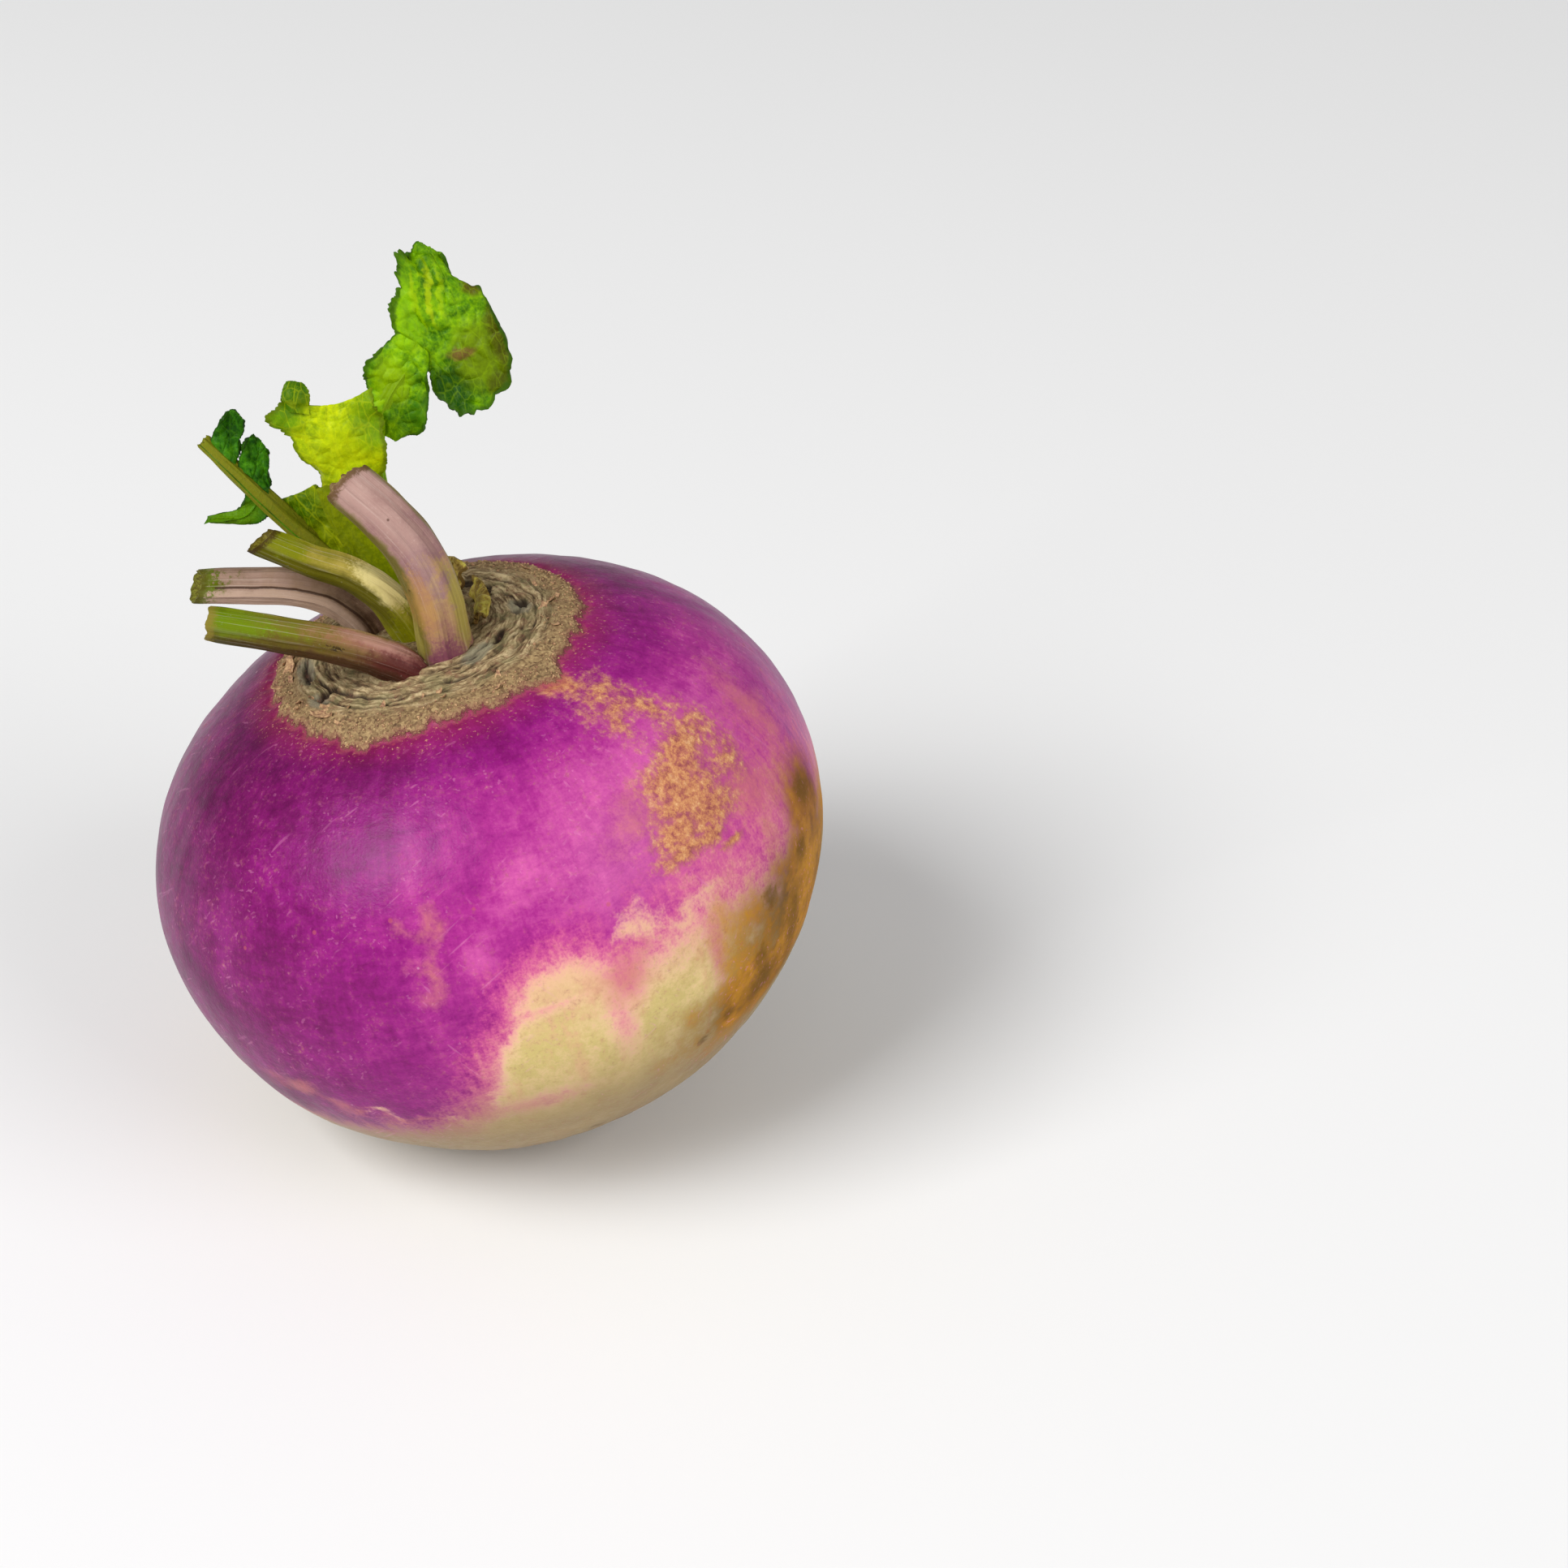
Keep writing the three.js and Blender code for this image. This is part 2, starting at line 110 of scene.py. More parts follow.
def area_light(name, towards, distance, size, power):
    """A square soft light that looks at the root's middle from that direction."""
    light = bpy.data.lights.new(name, "AREA")
    light.shape = "SQUARE"
    light.size = size
    light.energy = power
    made = bpy.data.objects.new(name, light)
    direction = Vector(towards).normalized()
    made.location = root_middle * MM + direction * distance
    made.rotation_mode = "QUATERNION"
    made.rotation_quaternion = direction.to_track_quat("Z", "Y")
    bpy.context.scene.collection.objects.link(made)


area_light("window_light", towards=(-0.56, -0.46, 0.7), distance=2, size=1.1, power=36)
area_light("fill_light", towards=(0.75, -0.5, 0.5), distance=2, size=1.4, power=19)

world = bpy.data.worlds.new("light_tent")
world.use_nodes = True
world.node_tree.nodes["Background"].inputs["Color"].default_value = (1, 1, 1, 1)
world.node_tree.nodes["Background"].inputs["Strength"].default_value = TENT_STRENGTH
bpy.context.scene.world = world
bpy.context.scene.view_settings.view_transform = "Standard"

# %% [markdown]
# ## Floor
# The turnip lies on white paper, which catches its soft shadow. A plane from the menu would do,
# but a bmesh grid of one square keeps to one way of working. It is no part of the turnip. It is so
# wide that its edge stays out of the picture.

# %% Lay the floor
FLOOR_SIZE = 6
PAPER_WHITE = (0.88, 0.88, 0.88, 1)

floor_bm = bmesh.new()
bmesh.ops.create_grid(floor_bm, x_segments=1, y_segments=1, size=FLOOR_SIZE / 2)
floor_mesh = bpy.data.meshes.new("floor")
floor_bm.to_mesh(floor_mesh)
floor_bm.free()
floor = bpy.data.objects.new("floor", floor_mesh)
bpy.context.scene.collection.objects.link(floor)
floor_paper = bpy.data.materials.new("white_paper")
floor_paper.use_nodes = True
paper_shader = floor_paper.node_tree.nodes["Principled BSDF"]
paper_shader.inputs["Base Color"].default_value = PAPER_WHITE
paper_shader.inputs["Roughness"].default_value = 0.9
paper_shader.inputs["Specular IOR Level"].default_value = 0.1
floor_mesh.materials.append(floor_paper)
print("floor", FLOOR_SIZE, "metres wide")

# %% [markdown]
# ## Helpers for shapes
# The same few sums come back in every piece: a soft step between two values, a smooth line through
# a few points, and lumps of a given size. Lumps come from Blender's own noise, which gives the
# same value for the same place each time, so that the turnip is the same in every run.

# %% Steps, lines and lumps
def soft_step(value, low, high):
    """0 below low, 1 above high and a smooth rise between them. low may be the larger."""
    share = min(max((value - low) / (high - low), 0), 1)
    return share * share * (3 - 2 * share)


def bell(value, width):
    """1 at 0, and less on both sides: about a third at the width."""
    return math.exp(-((value / width) ** 2))


def lumps(place, size, seed=0):
    """Smooth bumps of that size in millimetres, from about -1 to 1. Each seed is another set."""
    return noise.noise(Vector(place) / size + Vector((seed * 7.3, seed * 3.1, seed))) * 1.6


def through(points, along):
    """A point of the smooth line through the points, as along goes from 0 to 1."""
    points = [Vector(p) for p in points]
    points = [2 * points[0] - points[1], *points, 2 * points[-1] - points[-2]]
    place = along * (len(points) - 3)
    first = min(int(place), len(points) - 4)
    w = place - first
    a, b, c, d = points[first : first + 4]
    ab, bc, cd = (max(math.sqrt((q - p).length), 1e-4) for p, q in ((a, b), (b, c), (c, d)))
    leave = ((b - a) / ab - (c - a) / (ab + bc) + (c - b) / bc) * bc
    arrive = ((c - b) / bc - (d - b) / (bc + cd) + (d - c) / cd) * bc
    bend = 3 * (c - b) - 2 * leave - arrive
    close = 2 * (b - c) + leave + arrive
    return b + leave * w + bend * w**2 + close * w**3


print("line test:", [round(v, 2) for v in through([(0, 0, 0), (1, 0, 0), (2, 1, 0)], 0.5)])

# %% [markdown]
# A finished mesh needs the same last steps each time: its faces turned outwards, its place moved
# from the plant's frame into the room, its material, a parent for the body it rides on, and the
# solid it stands for hidden. One helper does them all and reports the mesh's size.

# %% Finish a piece
def finish_piece(name, bm, material, replaces=None, sharp=180):
    """Leans the mesh with the plant, makes it an object and tells the frame about it.

    Edges where the surface turns by more than sharp degrees stay crisp.
    """
    bmesh.ops.recalc_face_normals(bm, faces=bm.faces)
    bmesh.ops.transform(bm, matrix=PLANT, verts=bm.verts)
    for vert in bm.verts:
        vert.co.z = max(vert.co.z, 0)
    open_edges = sum(len(edge.link_faces) != 2 for edge in bm.edges)
    triangles = sum(len(face.verts) - 2 for face in bm.faces)
    mesh = bpy.data.meshes.new(name)
    bm.to_mesh(mesh)
    bm.free()
    mesh.shade_smooth()
    if sharp < 180:
        mesh.set_sharp_from_angle(angle=math.radians(sharp))
    mesh.materials.append(material)
    piece = bpy.data.objects.new(name, mesh)
    bpy.context.scene.collection.objects.link(piece)
    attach(piece, "root")
    if replaces:
        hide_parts(replaces)
    print(f"{name}: {triangles} triangles, {open_edges} open edges")


print("pieces will lean by", round(math.degrees(LEAN), 1), "degrees with the plant")

# %% [markdown]
# ## Helpers for materials
# Each finish mixes several patterns, and adding nodes one by one makes long code. This small class
# adds one node per call and returns its output, so that a finish reads like a recipe. Patterns
# read Object coordinates turned into the plant's frame in millimetres, or soft fields that the
# modelling step stored on the mesh, such as where the cork is.

# %% The paint box
def srgb(red, green, blue):
    """A colour as a screen shows it, 0 to 255, turned into the light that the shader wants."""

    def linear(value):
        value /= 255
        return value / 12.92 if value <= 0.04045 else ((value + 0.055) / 1.055) ** 2.4

    return (linear(red), linear(green), linear(blue), 1)


class Paint:
    """A material, and the recipe steps that add nodes to it."""

    def __init__(self, name):
        self.material = bpy.data.materials.new(name)
        self.material.use_nodes = True
        self.tree = self.material.node_tree
        self.shader = self.tree.nodes["Principled BSDF"]

    def add(self, kind, inputs, output=0, **settings):
        """Adds a node, sets or wires its inputs by number or name, and returns an output."""
        made = self.tree.nodes.new(kind)
        for name, value in settings.items():
            setattr(made, name, value)
        for key, value in inputs.items():
            self.wire(value, made.inputs[key])
        return made.outputs[output]

    def wire(self, value, socket):
        """Links an output to the socket, or sets a plain value on it."""
        if isinstance(value, bpy.types.NodeSocket):
            self.tree.links.new(value, socket)
        else:
            socket.default_value = value

    def place(self):
        """Where a point is in the plant's frame, in millimetres."""
        here = self.add("ShaderNodeTexCoord", {}, "Object")
        inputs = {0: here, 1: root_middle * MM, 2: (0, -LEAN, 0), 3: (MM, MM, MM)}
        return self.add("ShaderNodeMapping", inputs, vector_type="TEXTURE")

    def field(self, name):
        """A soft field that the modelling step stored on the mesh."""
        return self.add("ShaderNodeAttribute", {}, "Fac", attribute_name=name)

    def stretch(self, vector, x, y, z):
        """The place, squeezed or drawn out, for patterns longer one way than another."""
        return self.add("ShaderNodeMapping", {0: vector, 3: (x, y, z)})

    def noise(self, vector, size, detail=2.0, roughness=0.5, warp=0.0):
        """Cloudy noise round one half, with clouds of that size in millimetres."""
        inputs = {
            "Vector": vector,
            "Scale": 1 / size,
            "Detail": detail,
            "Roughness": roughness,
            "Distortion": warp,
        }
        return self.add("ShaderNodeTexNoise", inputs, "Fac")

    def cells(self, vector, size, output="Distance", feature="F1"):
        """A net of cells of that size: how far a point is from a cell's middle or edge."""
        inputs = {"Vector": vector, "Scale": 1 / size}
        return self.add("ShaderNodeTexVoronoi", inputs, output, feature=feature)

    def math(self, operation, a, b=0.0, c=0.0):
        return self.add("ShaderNodeMath", {0: a, 1: b, 2: c}, operation=operation)

    def between(self, value, low, high, top=1.0):
        """0 at low and top at high, smooth between them."""
        inputs = {0: value, 1: low, 2: high, 3: 0.0, 4: top}
        if low > high:
            inputs = {0: value, 1: high, 2: low, 3: top, 4: 0.0}
        return self.add("ShaderNodeMapRange", inputs, interpolation_type="SMOOTHSTEP")

    def mix(self, factor, a, b):
        """Colour a where the factor is 0, colour b where it is 1."""
        return self.add("ShaderNodeMix", {0: factor, 6: a, 7: b}, 2, data_type="RGBA")

    def ramp(self, factor, stops):
        """Colours that change along the factor. Each stop is (position, colour)."""
        made = self.add("ShaderNodeValToRGB", {0: factor})
        elements = made.node.color_ramp.elements
        while len(elements) < len(stops):
            elements.new(1)
        for element, (position, colour) in zip(elements, stops):
            element.position = position
            element.color = colour
        return made

    def vary(self, value, noise_value, amount):
        """The value, pushed up and down by a noise that swings round one half."""
        swing = self.math("SUBTRACT", noise_value, 0.5)
        return self.math("MULTIPLY_ADD", swing, amount, value)

    def patch(self, u, v, middle, size, strength=1.0):
        """A soft oval in two coordinates: strength in its middle, nothing outside it."""
        across = self.math("DIVIDE", self.math("SUBTRACT", u, middle[0]), size[0])
        along = self.math("DIVIDE", self.math("SUBTRACT", v, middle[1]), size[1])
        far = self.math("MULTIPLY_ADD", along, along, self.math("MULTIPLY", across, across))
        return self.between(far, 1.0, 0.1, strength)

    def dots(self, vector, spacing, radius, share):
        """Round spots in some of the cells of a net."""
        far = self.cells(vector, spacing)
        chosen = self.cells(vector, spacing, "Color")
        lot = self.add("ShaderNodeSeparateColor", {0: chosen})
        keep = self.between(lot, share + 0.02, share - 0.02)
        spot = self.between(far, 1.3 * radius / spacing, 0.7 * radius / spacing)
        return self.math("MULTIPLY", keep, spot)

    def finish(self, colour, roughness, height=None, **constants):
        """Wires the shader. height is in millimetres."""
        self.wire(colour, self.shader.inputs["Base Color"])
        self.wire(roughness, self.shader.inputs["Roughness"])
        for name, value in constants.items():
            self.shader.inputs[name.replace("_", " ")].default_value = value
        if height is not None:
            inputs = {"Height": height, "Distance": MM, "Strength": 1.0}
            self.wire(self.add("ShaderNodeBump", inputs), self.shader.inputs["Normal"])
        print(self.material.name, "has", len(self.tree.nodes), "nodes")
        return self.material


print("a middle grey for the shader:", [round(v, 3) for v in srgb(128, 128, 128)])

# %% [markdown]
# ## The root's form
# A turnip's root is a squat ball, squarer at the shoulder than an ellipse. It could be a lathed
# outline, but a sphere from the bmesh operators is already closed at both poles, and its rings can
# be slid to where detail is needed: close together on the scarred crown and round the root tip,
# wider apart on the smooth flank.

# %% Outline of the root
# All in millimetres from the root's middle.
CORK_RADIUS = 20.6
CORK_RISE = 0.5
CORK_BEVEL = 0.8
NECK_RISE = 1.6
NECK_RADIUS = 14
TAP_DIMPLE_RADIUS = 5
TAP_DIMPLE_DEPTH = 1.3
TAP_STUB_RADIUS = 1.7
TAP_STUB_RISE = 0.8


def root_outline(angle):
    """(radius, height) of the smooth root, as angle goes from the crown to the root tip."""
    sine, cosine = math.sin(angle), math.cos(angle)
    if cosine > 0:
        radius = EQUATOR_RADIUS * sine**SHOULDER_POWER
        height = CROWN_RISE * cosine
        height += CORK_RISE * soft_step(radius, CORK_RADIUS + CORK_BEVEL, CORK_RADIUS - CORK_BEVEL)
        height += NECK_RISE * soft_step(radius, NECK_RADIUS, 0)
        return radius, height
    radius = EQUATOR_RADIUS * sine
    height = ROOT_DROP * cosine
    height += TAP_DIMPLE_DEPTH * soft_step(radius, TAP_DIMPLE_RADIUS, TAP_STUB_RADIUS)
    height -= TAP_STUB_RISE * soft_step(radius, TAP_STUB_RADIUS * 1.1, TAP_STUB_RADIUS * 0.8)
    return radius, height


def unevenness(turn_angle, height):
    """No turnip is quite round: a slow swell round the girth."""
    two_lobed = 0.007 * math.sin(2 * turn_angle + 0.6)
    three_lobed = 0.005 * math.sin(3 * turn_angle + 2 + height / 30)
    return 1 + (two_lobed + three_lobed) * (1 - (height / ROOT_DROP) ** 2)


print("outline at the equator:", root_outline(math.pi / 2))

# %% [markdown]
# A sphere's rings are evenly spaced, and the crown needs far finer ones than the flank. More cuts
# there would do it, but sliding the rings costs no extra faces. Each row of the table says where a
# share of the rings has got to: the first 42 of 100 lie within 26 degrees of the crown's middle.

# %% Slide the rings of a sphere
SECTORS = 336
RINGS = 250
# Rows: share of the rings, degrees down from the crown.
RING_PLACES = [(0, 0), (0.42, 26), (0.52, 40), (0.91, 171), (1, 180)]


def ring_angle(share):
    """Which angle from the crown a ring goes to, by its share of the way down."""
    for (a, first), (b, last) in zip(RING_PLACES, RING_PLACES[1:]):
        if share <= b:
            return math.radians(first + (last - first) * (share - a) / (b - a))
    return math.pi


root_bm = bmesh.new()
bmesh.ops.create_uvsphere(root_bm, u_segments=SECTORS, v_segments=RINGS, radius=1)
where = {}
for vert in root_bm.verts:
    share = math.acos(max(-1, min(1, vert.co.z))) / math.pi
    turn_angle = math.atan2(vert.co.y, vert.co.x)
    angle = ring_angle(share)
    radius, height = root_outline(angle)
    radius *= unevenness(turn_angle, height)
    vert.co = (radius * math.cos(turn_angle), radius * math.sin(turn_angle), height)
    where[vert.index] = (math.degrees(angle), math.degrees(turn_angle), radius)
root_bm.normal_update()
print("root:", len(root_bm.verts), "points")

# %% [markdown]
# ## Where the colours and scars go
# The purple reaches lower on one side than on the other and meets the cream in streaks. An orange
# scurf runs down from the crown on the right. These large shapes are laid out as angles, round
# the root and down from the crown, and stored on the mesh as soft fields. The grain at their edges
# is finer than the mesh, so the material adds it later. A texture could be painted instead, but
# angles stay readable and can be moved one patch at a time.

# %% Where the purple ends
# Rows: degrees round the root, degrees down to the end of the purple, how soft that end is.
PURPLE_ENDS = [
    (-180, 112, 7), (-165, 110, 7), (-150, 112, 6), (-135, 118, 6), (-120, 124, 7),
    (-105, 123, 8), (-97, 119, 9), (-92, 113, 10), (-88, 104, 11), (-84, 94, 10), (-80, 87, 8),
    (-77, 82, 7), (-72, 80, 7), (-66, 83, 8), (-61, 88, 9), (-56, 88, 12), (-49, 87, 14),
    (-42, 88, 16), (-35, 88, 18), (-25, 88, 20), (-15, 89, 20), (-5, 91, 17),
    (10, 95, 13), (30, 99, 11), (50, 104, 10), (75, 98, 9), (100, 106, 8), (120, 112, 8),
    (140, 104, 7), (160, 109, 7), (180, 112, 7),
]
# Rows of the patches from here on: degrees round, degrees down, half width, half height.
PURPLE_STREAKS = [
    (-62.5, 88, 2.2, 8), (-64.5, 99, 2, 6), (-76, 90, 5, 1), (-84, 112.5, 9, 2),
    (-45, 96, 1.4, 8), (20, 104, 2, 10), (64, 106, 2.5, 12), (112, 118, 2, 10), (150, 112, 2, 12),
]
CREAM_PATCHES = [
    (-58, 80, 5, 4), (-48, 84, 6, 3), (-100, 113, 3, 1.6), (-110, 110, 5, 1.5), (60, 92, 6, 3),
    (150, 98, 7, 3),
]
print("steps round the end of the purple:", len(PURPLE_ENDS))

# %% [markdown]
# The marks are tables of soft ovals. SCURF is the crust on the right and THIN_SCURF its fainter
# fringes, here and at the back. WORN is rubbed skin and STAINS are from the soil. The ochre ovals
# low on the right are partly a soil stain and partly painted shade with a painted reflection.
# PALE_STREAK is a row of small ovals that makes one slanting light streak on the front.

# %% Where the marks are
SCURF = [
    (-32, 53, 5, 3.2), (-37, 57, 7, 4), (-38, 62, 7.5, 4.5), (-36, 67, 6, 4), (-43, 67, 5, 3.4),
    (-44, 71, 5, 2.2), (-38, 72, 3, 1.8), (-34.5, 76.5, 2.4, 0.9), (-40, 23, 4, 2.2),
    (-39, 26.5, 4.5, 1.8),
]
THIN_SCURF = [
    (-37, 28, 5, 3), (-34, 33, 6, 3.6), (-34, 38, 6.5, 3.6), (-38, 41, 3.5, 3), (-30, 41, 4, 4),
    (-26, 52, 5, 8), (-27, 62, 4, 6), (60, 52, 6, 3), (66, 57, 4, 3), (56, 58, 3, 2),
    (119, 58, 3, 4), (123, 65, 4, 4), (116, 70, 3, 3), (98, 40, 4, 2), (104, 42, 3, 2),
]
WORN = [
    (-94, 63.5, 4, 2.4), (-91, 67, 3.4, 3.4), (-93, 77, 2.4, 4.5), (-92, 73, 3, 3), (-62, 90, 6, 7),
    (-127, 104, 7, 2.4), (-117, 108, 5, 2.6), (-105, 112, 5, 2), (-24, 70, 8, 9), (25, 80, 6, 8),
    (100, 92, 7, 3), (-10, 60, 6, 14), (-168, 90, 4, 6), (75, 70, 7, 3), (-50, 59, 6, 7),
]
# Ochre low on the right: partly a soil stain, partly painted shade and a painted reflection.
OCHRE_AND_SHADE = [(-20, 100, 24, 15), (-33, 112, 20, 10), (-12, 88, 10, 12)]
STAINS = [
    (-31, 94.5, 2.4, 3), (-19, 93.5, 3, 3.6), (-49, 117, 1.8, 1.8), (-74, 135.5, 4, 1.4),
    (-65.5, 138.5, 3, 1.2), (-43, 114.5, 2.4, 2.4), (-24, 106, 3, 8), (-35, 106, 2.4, 4),
    (-12, 84, 4, 5), (-34, 113, 6, 5), (40, 118, 6, 3), (140, 128, 5, 3),
]
PALE_STREAK = [
    (-84, 74, 2.4, 3), (-81, 69.5, 2.4, 3), (-78, 65.5, 2.4, 3), (-75, 61.5, 2.4, 3),
    (-72, 58.5, 2.4, 2.4),
]
# Where the purple is palest and pinkest, and how far that reaches round. It is widened over the front
# so that it also lightens the purple where the window's sheen falls: a painted highlight there.
BLUSH_AND_SHEEN_TURN = -38
BLUSH_AND_SHEEN_WIDTH = 74
print("patches of scurf and wear:", len(SCURF + THIN_SCURF), len(WORN))
print("patches of ochre and stain:", len(OCHRE_AND_SHADE), len(STAINS))

# %% [markdown]
# Two helpers read the tables. Distance to a patch is measured in the patch's own half widths, so
# that an oval is as easy as a circle. The end of the purple is looked up between the two steps on
# either side, and eased, so that it has no corners.

# %% How near a point is to a mark
def closeness(turn_degrees, down_degrees, patches):
    """1 in the middle of the nearest patch, 0.5 on its edge and 0 well away from it."""
    best = 0
    for middle_turn, middle_down, half_turn, half_down in patches:
        across = (turn_degrees - middle_turn + 180) % 360 - 180
        far = math.hypot(across / half_turn, (down_degrees - middle_down) / half_down)
        best = max(best, 1 - far / 2)
    return best


def purple_end(turn_degrees):
    """(how far down from the crown the purple reaches, how soft its end is), in degrees."""
    for (a, first, soft_a), (b, last, soft_b) in zip(PURPLE_ENDS, PURPLE_ENDS[1:]):
        if turn_degrees <= b:
            share = soft_step(turn_degrees, a, b)
            return first + (last - first) * share, soft_a + (soft_b - soft_a) * share
    return PURPLE_ENDS[-1][1:]


print("at the front, purple ends and softness:", purple_end(-75), "degrees")

# %% [markdown]
# The crown's relief is carved into the mesh. Each fallen leaf left a crescent scar, so there are
# arcs of grooves at several radii, broken here and there. Rotted buds left dark pits, and the
# largest scars dried to smooth grey plates. Noise alone would scatter them anywhere, so they are
# listed one by one, and noise only makes their outlines wander.

# %% Where the leaf scars, pits and plates are
# Rows: radius in millimetres, degrees round where it starts and ends, depth in millimetres.
SCAR_ARCS = [
    (14.6, -158, -58, 0.7), (13.1, -138, -76, 0.4), (16.2, -140, -64, 0.4), (11.4, -92, -24, 0.4),
    (9.7, -80, -30, 0.4), (15.2, -40, 52, 0.4), (17.1, -20, 66, 0.3), (12.6, 12, 60, 0.4),
    (13.2, 66, 150, 0.5), (16, 80, 205, 0.5), (11, 100, 170, 0.5), (13.2, 172, 214, 0.5),
    (17.6, -112, -66, 0.3), (17.9, 150, 190, 0.4), (9.2, 60, 120, 0.4), (18.2, 20, 44, 0.3),
    (12.2, -125, -100, 0.35), (13.6, -54, -14, 0.35), (16.9, -152, -132, 0.35),
]
# Rows: x, y, half width and half height in millimetres, tilt in degrees, depth in millimetres.
PITS = [
    (-12, -9.6, 1.4, 0.9, 35, 1.4), (1.6, -9.8, 1.7, 0.45, 12, 0.6), (8.2, -9.4, 0.8, 1.7, -35, 0.35),
    (10.8, -5, 0.5, 2.2, -12, 0.9), (13.1, 3.4, 0.9, 1.5, 20, 1.2), (12.6, 0.8, 0.7, 0.9, 0, 0.6),
    # The pit at (-15.4, -3.4) is a shallow dent whose dark colour is painted shade.
    (7.8, 6.5, 1.0, 3.2, -8, 1.4), (4.8, 11.5, 1.6, 2.6, 25, 1.2), (-15.4, -3.4, 0.8, 3.0, 12, 0.5),
    (-9, 13.5, 1.5, 0.9, 30, 0.9), (-14.5, 7, 0.9, 1.6, 20, 0.8), (10.5, 10.5, 0.8, 1.3, 45, 0.7),
    (-6, -12.2, 1.2, 0.4, -20, 0.4), (4.5, -13.6, 1.0, 0.35, 10, 0.3), (-2, -15.4, 1.6, 0.3, 4, 0.3),
    (-9.4, -16.2, 0.7, 0.5, 30, 0.5), (2.2, -11.6, 0.9, 0.3, 12, 0.3), (13.6, -3.2, 0.3, 1.0, 15, 0.4),
]
# Rows: x, y, half width and half height in millimetres, tilt in degrees.
# The plate at (-15.6, -3), with the pit there, makes a bluish-dark patch of painted shade.
PLATES = [(8.2, -8.6, 1.3, 3.0, -38), (-15.6, -3, 1.3, 3.6, 12), (13, 2.2, 1.6, 2.4, 15),
          (-13, -11, 1.2, 2.2, 40), (-4, 15, 2.6, 1.2, 5)]
print("scars, pits and plates:", len(SCAR_ARCS), len(PITS), len(PLATES))

# %% [markdown]
# A scar is a groove along a ring that wanders a little and fades at both ends. A pit and a plate
# are tilted ellipses with rough rims. Boolean cuts could make them too, but dozens of small cuts
# would leave a messy mesh, where moving the points of a fine one stays clean.

# %% How deep the scars and pits cut
def ellipse_distance(x, y, middle_x, middle_y, half_x, half_y, tilt):
    """1 on the rim of a tilted ellipse, less inside and more outside."""
    cosine, sine = math.cos(math.radians(tilt)), math.sin(math.radians(tilt))
    dx, dy = x - middle_x, y - middle_y
    return math.hypot((dx * cosine + dy * sine) / half_x, (dy * cosine - dx * sine) / half_y)


def arc_depth(x, y, radius, turn_degrees):
    """How deep the leaf scars cut here, in millimetres."""
    depth = 0
    wander = 0.5 * lumps((x, y, 0), 5, 3) + 0.15 * lumps((x, y, 0), 1.6, 4)
    for middle, start, end, cut in SCAR_ARCS:
        angle = turn_degrees + 360 if turn_degrees < start - 20 else turn_degrees
        ends = soft_step(angle, start - 6, start + 8) * soft_step(angle, end + 6, end - 8)
        depth = max(depth, cut * ends * bell(radius + wander - middle, 0.26))
    return depth


def pit_depth(x, y):
    """How deep the deepest pit is here, in millimetres."""
    rough = 0.25 * lumps((x, y, 0), 0.8, 5)
    depths = [cut * soft_step(ellipse_distance(x, y, *pit) + rough, 1.3, 0.5) for *pit, cut in PITS]
    return max(depths)


def scar_plate(x, y):
    """1 on the smooth grey plates that old leaf scars left."""
    return max(soft_step(ellipse_distance(x, y, *plate), 1.2, 0.7) for plate in PLATES)


print("groove in the front of the crown:", round(arc_depth(0, -14.6, 14.6, -90), 2), "mm")

# %% [markdown]
# The cork's outer rim is a crumbly fringe, ragged at three sizes, and tongues of it run out over
# the skin, the longest towards the scurf. Inside the rim the cork lies in low shelves, because
# ring after ring of old leaf bases shrank back. Their height comes from the radius, and noise
# makes the rings wander.

# %% Rim and shelves of the cork
SHELF_PITCH = 1.7
# Rows: degrees round, width in degrees, reach in millimetres.
CORK_TONGUES = [(-38, 7, 2.2), (-113, 10, 1)]


def cork_edge(turn_angle):
    """The fringe's ragged outer radius, in millimetres."""
    around = Vector((math.cos(turn_angle), math.sin(turn_angle), 0))
    edge = CORK_RADIUS + 0.5 * lumps(around, 0.5) + 0.6 * lumps(around, 0.1, 1)
    edge += 0.35 * lumps(around, 0.035, 2)
    degrees = math.degrees(turn_angle)
    for middle, width, reach in CORK_TONGUES:
        edge += reach * bell(degrees - middle, width)
    return edge


def ridges(x, y, radius):
    """(height, darkness of the seam) of the low shelves that old leaf bases left."""
    wander = 0.9 * lumps((x, y, 0), 7, 6) + 0.2 * lumps((x, y, 0), 2.4, 7)
    share = ((radius + wander) / SHELF_PITCH) % 1
    shelf = soft_step(share, 0, 0.7) * soft_step(share, 1, 0.84)
    reach = soft_step(radius, 18.2, 16.2) * soft_step(radius, 3, 7)
    seam = bell(share - 0.97, 0.05) + bell(share + 0.03, 0.05)
    broken = soft_step(lumps((x, y, 0), 3.2, 21), -0.1, 0.4)
    return 0.2 * (shelf - 0.5) * reach, seam * reach * broken


print("rim at the front:", round(cork_edge(-math.pi / 2), 2), "mm from the axis")

# %% [markdown]
# Every point of the sphere will be moved along its normal, and soft fields stored beside it tell
# the material where it is. On the crown the cork stands a little above the skin, with its scars
# and pits cut in. Round the cut tap root there are fine wrinkles like the rays of a star.

# %% Relief of the crown and the root tip
FIELDS = (
    "skirt", "scar", "plate", "scurf", "worn", "cream", "rose", "ochre_and_shade", "stain", "blush_and_painted_sheen", "tap",
)
layers = {name: root_bm.verts.layers.float.new(name) for name in FIELDS}


